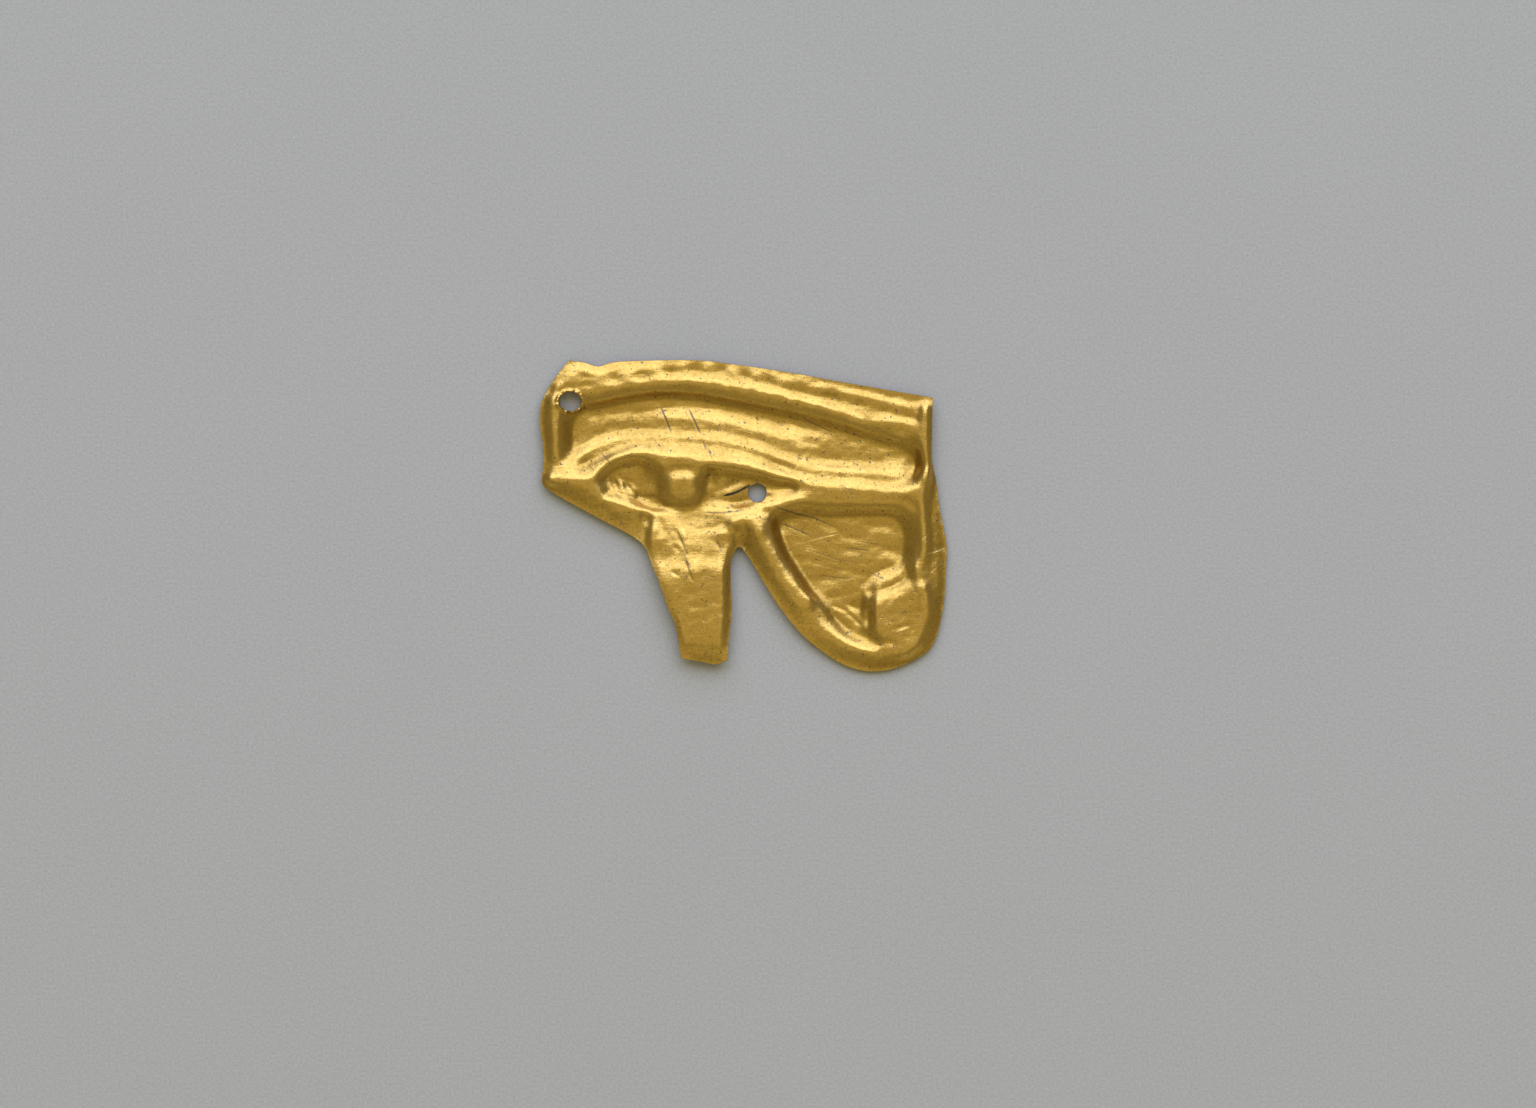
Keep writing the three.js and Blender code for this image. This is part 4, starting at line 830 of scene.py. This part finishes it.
def tear_outline(sheet):
    """One loop: out along the slit's upper flank, round the hole, and back along its lower flank.
    The slit opens from nothing to its width over its first sixth."""
    centre = on_sheet(TEAR_HOLE, sheet)
    middle = evenly(smooth_curve(on_sheet(SLIT, sheet)), sheet.spacing / 4)
    clear = sheet.tear_radius + sheet.slit_width / 4
    middle = middle[np.linalg.norm(middle - centre, axis=1) > clear]
    forward = unit(np.gradient(middle, axis=0))
    left = np.column_stack([-forward[:, 1], forward[:, 0]])
    opened = np.minimum(1, 6 * np.linspace(0, 1, len(middle)))[:, None] * sheet.slit_width / 2
    mouth = middle[-1] - centre
    gap = math.asin(sheet.slit_width / 2 / sheet.tear_radius)
    angle = math.atan2(mouth[1], mouth[0]) - np.linspace(gap, math.tau - gap, RING_STEPS)
    ring = centre + sheet.tear_radius * np.column_stack([np.cos(angle), np.sin(angle)])
    return np.concatenate([middle[1:] + (left * opened)[1:], ring, (middle - left * opened)[::-1]])


def outlines(sheet):
    """The loops that the sheet is cut along: its edge, the thread hole, which is an ellipse, and
    the tear."""
    edge = np.concatenate([smooth_curve(on_sheet(places, sheet))[:-1] for _, places in EDGE])
    angle = np.arange(RING_STEPS) * math.tau / RING_STEPS
    across, up = np.cos(angle) * sheet.hole_width / 2, np.sin(angle) * sheet.hole_height / 2
    hole = on_sheet(THREAD_HOLE, sheet) + np.column_stack([across, up])
    loops = [edge, hole, tear_outline(sheet)]
    return [evenly(loop, sheet.spacing / 4, closed=True)[:-1] for loop in loops]


def dented(lattice, sheet):
    """How far the dents push the face down: the sum of each depth times
    exp(-(along / half length) squared - (across / half width) squared)."""
    x, y = np.meshgrid(lattice.x, lattice.y)
    total = np.zeros(lattice.shape)
    for *place, half_length, half_width, turn, depth in DENTS:
        middle_x, middle_y = on_sheet(place, sheet)
        dx, dy = x - middle_x, y - middle_y
        cos, sin = math.cos(math.radians(turn)), math.sin(math.radians(turn))
        along = (dx * cos + dy * sin) / (half_length / 100 * MM)
        across = (dy * cos - dx * sin) / (half_width / 100 * MM)
        total += depth / 1000 * MM * np.exp(-(along**2) - across**2)
    return total


def waves(lattice):
    """Unevenness with no direction: the mean of many cosines of random direction, start and
    wavelength, each as high as it is long, brought to a spread of 1."""
    random = np.random.default_rng(WAVE_SEED)
    x, y = np.meshgrid(lattice.x, lattice.y)
    total = np.zeros(lattice.shape)
    for _ in range(WAVE_COUNT):
        wavelength = SHORTEST_WAVE * (LONGEST_WAVE / SHORTEST_WAVE) ** random.random()
        angle, start = random.random(2) * math.tau
        turns = (x - y) * random.random() * 4 / LONGEST_WAVE
        bend = WAVE_BEND * wavelength * np.sin(turns + start)
        run = x * math.cos(angle) + y * math.sin(angle) + bend
        total += wavelength * np.cos(math.tau * run / wavelength + start)
    return total / total.std()


def burr(lattice, sheet):
    """The torn rim of the thread hole: a low ring as high as a bell curve of the distance from
    the hole's edge, broken into tatters by a sum of sines round it."""
    x, y = np.meshgrid(lattice.x, lattice.y)
    middle_x, middle_y = on_sheet(THREAD_HOLE, sheet)
    u, v = (x - middle_x) / (sheet.hole_width / 2), (y - middle_y) / (sheet.hole_height / 2)
    angle = np.arctan2(v, u)
    away = (np.hypot(u, v) - 1) * sheet.hole_width / 2
    tatters = sum((high * np.sin(count * angle + start) for high, count, start in TATTERS), 1)
    return sheet.burr_height * tatters * np.exp(-(((away - BURR_MIDDLE) / BURR_WIDTH) ** 2))


def scratched(lattice, sheet):
    """For each node near a scratch, its distance from it with a sign for the side, in millimetres,
    and the scratch's strength, which rises from nothing at both ends."""
    distance = np.full(lattice.rows * lattice.columns, 1.0)
    strength = np.zeros_like(distance)
    for power, places in SCRATCHES:
        samples = evenly(smooth_curve(on_sheet(places, sheet)), lattice.spacing / 3)
        forward = unit(np.gradient(samples, axis=0))
        node, sample, away, step = lattice.nearest(samples, SCRATCH_REACH)
        nearer = away / MM < np.abs(distance[node])
        node, sample, away, step = node[nearer], sample[nearer], away[nearer], step[nearer]
        side = step[:, 1] * forward[sample, 0] - step[:, 0] * forward[sample, 1]
        distance[node] = np.where(side < 0, -1, 1) * away / MM
        way = sample / (len(samples) - 1)
        strength[node] = power * np.minimum(1, SCRATCH_ENDS * np.minimum(way, 1 - way))
    return distance.reshape(lattice.shape), strength.reshape(lattice.shape)


def flow(lattice, sheet):
    """Coordinates that run with the burnishing strokes, in millimetres: across the face, and up it
    from an arc that follows the chased ridge and straightens out below the eye."""
    x, y = np.meshgrid(lattice.x, lattice.y)
    ridge = on_sheet(LINES["ridge"][1], sheet)
    arc = np.interp(lattice.x, ridge[:, 0], ridge[:, 1])[None, :] - ARC_BASE * sheet.height
    follow = np.clip((y / sheet.height - ARC_START) / ARC_FADE, 0, 1)
    return x / MM, (y - arc * follow) / MM, np.zeros(lattice.shape)


def worked_sheet(sheet, heights):
    """The cut mesh with the heights of its face and back, and the fields its finish reads. The face
    is the stretched sheet with its dents, unevenness and burr. The back lies one thickness under
    the stretched sheet, measured square to it, but never below the bench."""
    curves = [chased(line, sheet, heights) for line in (*LINES.values(), *EDGE)]
    lattice, form = stretched(curves, sheet)
    slope_up, slope_across = np.gradient(form, lattice.spacing)
    back = form + sheet.thickness * (1 - np.sqrt(1 + slope_across**2 + slope_up**2))
    back = np.maximum(back, 0)
    detail = sheet.hammering * waves(lattice) - dented(lattice, sheet) + burr(lattice, sheet)
    face = np.maximum(form + detail + sheet.thickness, back + LEAST_THICKNESS * sheet.thickness)
    cut = CutMesh(depth_inside(lattice, outlines(sheet)))
    hollow = (softened(face, HOLLOW_REACH / lattice.spacing) - face) / FULL_HOLLOW
    distance, strength = scratched(lattice, sheet)
    fields = {
        "hollow": [np.clip(hollow, -1, 1)],
        "scratch": [distance],
        "scratch_strength": [strength],
        "flow": flow(lattice, sheet),
    }
    return lattice, cut, face, back, fields


def mesh_of(name, lattice, cut, face, back, rounding, fields):
    """The closed sheet: the face, the same cells turned over for the back, and round the rim a wall
    that swells outwards by the rounding at half its height, as a cut edge of soft metal does."""
    plan = np.column_stack([cut.at_points(axis) for axis in np.meshgrid(lattice.x, lattice.y)])
    top, under = cut.at_points(face), cut.at_points(back)
    rim_points, rim = np.unique(cut.rim, return_inverse=True)
    rim = rim.reshape(-1, 2)
    along = plan[cut.rim[:, 1]] - plan[cut.rim[:, 0]]
    outwards = np.zeros((len(rim_points), 2))
    for end in (0, 1):
        np.add.at(outwards, rim[:, end], np.column_stack([along[:, 1], -along[:, 0]]))
    swell = plan[rim_points] + unit(outwards) * rounding
    middle = (top[rim_points] + under[rim_points]) / 2
    layers = [(plan, top), (plan, under), (swell, middle)]
    points = np.concatenate([np.column_stack(layer) for layer in layers])
    count = cut.count
    start, end = cut.rim.T
    start_middle, end_middle = (rim + 2 * count).T
    upper = np.column_stack([end, start, start_middle, end_middle])
    lower = np.column_stack([end_middle, start_middle, start + count, end + count])
    turned = [polygon[:, ::-1] + count for polygon in cut.polygons]
    groups = [*cut.polygons, *turned, upper, lower]
    totals = np.concatenate([np.full(len(group), group.shape[1]) for group in groups])
    mesh = bpy.data.meshes.new(name)
    mesh.vertices.add(len(points))
    mesh.vertices.foreach_set("co", points.astype(np.float32).ravel())
    mesh.loops.add(int(totals.sum()))
    corners = np.concatenate([group.ravel() for group in groups])
    mesh.loops.foreach_set("vertex_index", corners.astype(np.int32))
    mesh.polygons.add(len(totals))
    mesh.polygons.foreach_set("loop_start", (np.cumsum(totals) - totals).astype(np.int32))
    mesh.polygons.foreach_set("use_smooth", np.ones(len(totals), bool))
    for label, field in fields.items():
        flat = [cut.at_points(part) for part in field]
        both = [np.concatenate([part, part, part[rim_points]]) for part in flat]
        kind, key = ("FLOAT", "value") if len(field) == 1 else ("FLOAT_VECTOR", "vector")
        layer = mesh.attributes.new(label, kind, "POINT")
        layer.data.foreach_set(key, np.column_stack(both).astype(np.float32).ravel())
    mesh.update(calc_edges=True)
    mesh.validate()
    mesh.set_sharp_from_angle(angle=SHARP_ANGLE)
    return mesh


class Socket:
    """One output of a node, which Python's operators can be used on."""

    def __init__(self, shader, output):
        self.shader, self.output = shader, output

    __add__ = __radd__ = lambda self, other: self.shader.maths("ADD", self, other)
    __sub__ = lambda self, other: self.shader.maths("SUBTRACT", self, other)
    __rsub__ = lambda self, other: self.shader.maths("SUBTRACT", other, self)
    __mul__ = __rmul__ = lambda self, other: self.shader.maths("MULTIPLY", self, other)
    __truediv__ = lambda self, other: self.shader.maths("DIVIDE", self, other)
    __pow__ = lambda self, other: self.shader.maths("POWER", self, other)
    __neg__ = lambda self: self * -1.0

    def clamp(self):
        """Kept between 0 and 1."""
        return self.shader.maths("MINIMUM", self.shader.maths("MAXIMUM", self, 0.0), 1.0)

    def exp(self):
        """The exponential."""
        return self.shader.maths("EXPONENT", self)


class Shader:
    """Makes the nodes of one material or world."""

    def __init__(self, owner):
        owner.use_nodes = True
        self.tree = owner.node_tree
        self.tree.nodes.clear()

    @staticmethod
    def pick(sockets, key):
        """A node's socket by its number, identifier or name."""
        if isinstance(key, int):
            return sockets[key]
        return next(socket for socket in sockets if key in (socket.identifier, socket.name))

    def node(self, kind, settings=(), inputs=()):
        """A node of this type: its settings are set first, then its sockets get values or links."""
        made = self.tree.nodes.new(kind)
        for name, value in dict(settings).items():
            setattr(made, name, value)
        for key, value in dict(inputs).items():
            socket = self.pick(made.inputs, key)
            if isinstance(value, Socket):
                self.tree.links.new(value.output, socket)
            else:
                socket.default_value = value
        return made

    def out(self, kind, settings=(), inputs=(), output=0):
        """One output of a new node."""
        return Socket(self, self.pick(self.node(kind, settings, inputs).outputs, output))

    def maths(self, operation, *values):
        """A maths operation on values or sockets."""
        return self.out("ShaderNodeMath", {"operation": operation}, dict(enumerate(values)))

    def attribute(self, name, output="Fac"):
        """A field that the mesh carries at its points."""
        settings = {"attribute_type": "GEOMETRY", "attribute_name": name}
        return self.out("ShaderNodeAttribute", settings, output=output)

    def mix(self, share_of_second, first, second):
        """Two colours mixed by a share."""
        return self.out(
            "ShaderNodeMix",
            {"data_type": "RGBA", "clamp_factor": True},
            {"Factor_Float": share_of_second, "A_Color": first, "B_Color": second},
            "Result_Color",
        )

    def noise(self, place, scale, detail=2.0, roughness=0.5):
        """Cloudy noise about 0.5. Its scale is how many waves fit into one unit of the place."""
        inputs = {"Vector": place, "Scale": scale, "Detail": detail, "Roughness": roughness}
        return self.out("ShaderNodeTexNoise", {"noise_dimensions": "3D"}, inputs)

    def moved(self, place, scale, turn=(0, 0, 0)):
        """The place scaled along its axes and turned."""
        inputs = {"Vector": place, "Rotation": turn, "Scale": scale}
        return self.out("ShaderNodeMapping", inputs=inputs)

    def bump(self, height, distance):
        """Normals tilted as by this height, of which 1 stands for the distance."""
        inputs = {"Height": height, "Distance": distance, "Strength": 1.0}
        return self.out("ShaderNodeBump", inputs=inputs, output="Normal")

    def surface(self, inputs):
        """Ends a material with a principled surface."""
        surface = self.out("ShaderNodeBsdfPrincipled", inputs=inputs)
        self.node("ShaderNodeOutputMaterial", {}, {"Surface": surface})


def rgba(colour, brightness=1.0):
    """The colour times a brightness, no part above 1, with full cover."""
    return (*(min(1.0, part * brightness) for part in colour), 1.0)


def gold_material(finish):
    """Beaten gold: paler on high places, partly burnished and partly as painted highlight, and
    deeper in hollows as painted shade, with strokes of the burnisher, fine unevenness, grains of
    soil, and scratches, which are as deep and dark as a bell curve of the distance from their
    middle; along the bright ones a paler gold is a painted glint."""
    material = bpy.data.materials.new("beaten_gold")
    shader = Shader(material)
    place = shader.out("ShaderNodeTexCoord", output="Object")
    strokes_place = shader.moved(shader.attribute("flow", "Vector"), scale=(0.35, 5.0, 1.0))
    hollow = shader.attribute("hollow")
    distance = shader.attribute("scratch")
    strength = shader.attribute("scratch_strength")

    cloud = shader.noise(place, scale=700.0, detail=3.0)
    patches = shader.noise(place, scale=260.0)
    fine = shader.noise(place, scale=5000.0, detail=3.0, roughness=0.75)
    grains = shader.noise(place, scale=5200.0, detail=1.0, roughness=0.4)
    strokes = shader.noise(strokes_place, scale=1.6, detail=4.0, roughness=0.65)

    line = (-((distance / SCRATCH_HALF_WIDTH) ** 2.0)).exp()
    dark_line = (strength * line * 1.5).clamp()
    bright_line = (-strength * line).clamp()
    # Soil sits where the grains are highest, and more of it in hollows.
    speck = ((grains - 0.67) * 14.0 + hollow * 0.25).clamp() * 0.8

    mottle = (cloud - 0.5) * 0.9 + (patches - 0.5) * 0.5 + (strokes - 0.5) * 0.7
    # The hollow field's part in this share is painted: deeper gold in hollows is painted shade, and
    # paler gold on ridges is partly burnishing and partly painted highlight; the mottle is random
    # tone.
    depth = (hollow * 0.5 + mottle + (fine - 0.5) * 2.6 + 0.45).clamp()
    metal = shader.mix(depth, rgba(finish.bright), rgba(finish.deep))
    metal = shader.mix((dark_line * 0.8 + speck).clamp(), metal, rgba(finish.soil))
    # Paler gold along the bright scratches is a painted glint.
    metal = shader.mix((bright_line * 0.6).clamp(), metal, rgba(finish.scratch_glint))
    rough = (
        finish.roughness
        + (cloud - 0.5) * 0.2
        + (strokes - 0.5) * 0.2
        + (fine - 0.5) * 0.2
        + hollow * 0.05
        + dark_line * 0.3
        + speck * 0.4
        - bright_line * 0.12
    )
    relief = (
        fine * (finish.grain / MM)
        + strokes * (finish.streak / MM * 3.0)
        - (dark_line + bright_line) * SCRATCH_DEPTH
        - speck * PIT_DEPTH
    )
    shader.surface(
        {
            "Base Color": metal,
            "Metallic": 1.0,
            "Roughness": rough.clamp(),
            "Coat Weight": finish.polish,
            "Coat Roughness": 0.3,
            "Coat IOR": 1.8,
            "Normal": shader.bump(relief, MM),
        }
    )
    return material


def floor_material(studio):
    """Pale grey card: a very fine mottle and a few darker fibres, without gloss."""
    material = bpy.data.materials.new("grey_card")
    shader = Shader(material)
    place = shader.out("ShaderNodeTexCoord", output="Object")
    mottle = shader.noise(place, scale=6000.0, detail=3.0, roughness=0.8)
    broad = shader.noise(place, scale=60.0)
    fibres_place = shader.moved(place, scale=(0.35, 1.0, 1.0), turn=(0, 0, 0.6))
    fibres = shader.noise(fibres_place, scale=3200.0, detail=1.0)
    shade = (mottle - 0.5) * 1.6 + (broad - 0.5) * 0.1 - ((fibres - 0.68) * 3.0).clamp() * 0.25
    darker, paler = (rgba(studio.floor_colour, brightness) for brightness in CARD_RANGE)
    card = shader.mix((shade + 0.5).clamp(), darker, paler)
    bump = shader.bump(mottle, CARD_GRAIN)
    shader.surface({"Base Color": card, "Roughness": 0.9, "Normal": bump})
    return material


def room_world(studio):
    """A plain room seen by its height, 1 overhead and 0 at floor level: the ceiling is brighter, by
    the sixth power of the height, and dimmer again straight overhead, by its sixtieth power. The
    near side has a pale glow low down, by the square of what the height lacks of 1."""
    world = bpy.data.worlds.new("room")
    shader = Shader(world)
    direction = shader.out("ShaderNodeTexCoord", output="Generated")
    parts = shader.node("ShaderNodeSeparateXYZ", {}, {"Vector": direction}).outputs
    up, near = Socket(shader, parts["Z"]).clamp(), (-Socket(shader, parts["Y"])).clamp()
    level = studio.horizon + up**6.0 * studio.overhead - up**60.0 * studio.shade
    level = level + near * (1.0 - up) ** 2.0 * studio.near_glow
    colour = shader.mix(level, rgba([0.0] * 3), rgba(studio.room_colour))
    background = shader.out("ShaderNodeBackground", {}, {"Color": colour, "Strength": 1.0})
    shader.node("ShaderNodeOutputWorld", {}, {"Surface": background})
    return world


def linked(name, data):
    """A new object in the scene."""
    made = bpy.data.objects.new(name, data)
    bpy.context.scene.collection.objects.link(made)
    return made


class AMULET_OT_gold_sheet(bpy.types.Operator):
    """Builds the embossed gold sheet with its thread hole, tear, dents and scratches"""

    bl_idname = "amulet.gold_sheet"
    bl_label = "Gold sheet"

    def execute(self, context):
        settings = context.scene
        sheet = settings.amulet_sheet
        lattice, cut, face, back, fields = worked_sheet(sheet, settings.amulet_heights)
        mesh = mesh_of("gold_sheet_beaten", lattice, cut, face, back, sheet.rounding, fields)
        points = np.empty(len(mesh.vertices) * 3, np.float32)
        mesh.vertices.foreach_get("co", points)
        points = points.reshape(-1, 3)
        edge = outlines(sheet)[0]
        middle = (edge.min(axis=0) + edge.max(axis=0)) / 2
        points -= np.array([*middle, points[:, 2].min()], np.float32)
        mesh.vertices.foreach_set("co", points.ravel())
        mesh.update()
        mesh.materials.append(gold_material(settings.amulet_finish))
        piece = linked("gold_sheet_beaten", mesh)
        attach(piece, "root")
        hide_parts("gold_sheet")
        return {"FINISHED"}


class AMULET_OT_stage(bpy.types.Operator):
    """Lays the floor and sets the soft lamp, the room and the camera"""

    bl_idname = "amulet.stage"
    bl_label = "Stage"

    def execute(self, context):
        studio = context.scene.amulet_studio
        half = studio.floor_size / 2
        floor_mesh = bpy.data.meshes.new("floor")
        corners = [(-half, -half, 0), (half, -half, 0), (half, half, 0), (-half, half, 0)]
        floor_mesh.from_pydata(corners, [], [(0, 1, 2, 3)])
        floor_mesh.materials.append(floor_material(studio))
        floor = linked("floor", floor_mesh)
        floor.location.z = CAD_LOW.z - FLOOR_GAP

        lamp_data = bpy.data.lights.new("soft_lamp", "AREA")
        lamp_data.shape = "RECTANGLE"
        lamp_data.size, lamp_data.size_y = studio.lamp_width, studio.lamp_height
        lamp_data.color = studio.lamp_colour
        lamp_data.energy = studio.lamp_radiance * math.pi * studio.lamp_width * studio.lamp_height
        lamp = linked("soft_lamp", lamp_data)
        elevation, turn = studio.lamp_elevation, studio.lamp_turn
        across, up = -math.cos(elevation) * math.sin(turn), math.cos(elevation) * math.cos(turn)
        lamp.location = studio.lamp_distance * Vector((across, up, math.sin(elevation)))
        lamp.rotation_euler = (elevation - math.pi / 2, 0, turn)
        context.scene.world = room_world(studio)

        camera_data = bpy.data.cameras.new("camera")
        camera_data.lens = studio.focal
        camera_data.clip_end = CLIP_END
        camera = linked("camera", camera_data)
        middle = (CAD_LOW + CAD_HIGH) / 2
        camera.location = (middle.x + studio.aim_x, middle.y + studio.aim_y, studio.camera_height)
        context.scene.camera = camera
        context.scene.view_settings.view_transform = "Standard"
        return {"FINISHED"}


class AMULET_PT_panel(bpy.types.Panel):
    """Lists the sizes and the steps that build the amulet"""

    bl_label = "Wedjat amulet"
    bl_space_type = "VIEW_3D"
    bl_region_type = "UI"
    bl_category = "Amulet"

    def draw(self, context):
        for name, group in SETTINGS.items():
            box = self.layout.box()
            settings = getattr(context.scene, name)
            for field in group.__annotations__:
                box.prop(settings, field)
        for step in STEPS:
            self.layout.operator(step.bl_idname)


SETTINGS = {
    "amulet_sheet": SheetSizes,
    "amulet_heights": ReliefHeights,
    "amulet_finish": GoldFinish,
    "amulet_studio": Studio,
}
STEPS = (AMULET_OT_gold_sheet, AMULET_OT_stage)
CLASSES = (*SETTINGS.values(), *STEPS, AMULET_PT_panel)


def register():
    for group in CLASSES:
        bpy.utils.register_class(group)
    for name, group in SETTINGS.items():
        setattr(bpy.types.Scene, name, PointerProperty(type=group))


def unregister():
    for name in SETTINGS:
        delattr(bpy.types.Scene, name)
    for group in reversed(CLASSES):
        bpy.utils.unregister_class(group)


def main():
    register()
    bpy.ops.amulet.gold_sheet()
    bpy.ops.amulet.stage()


if __name__ == "__main__":
    main()
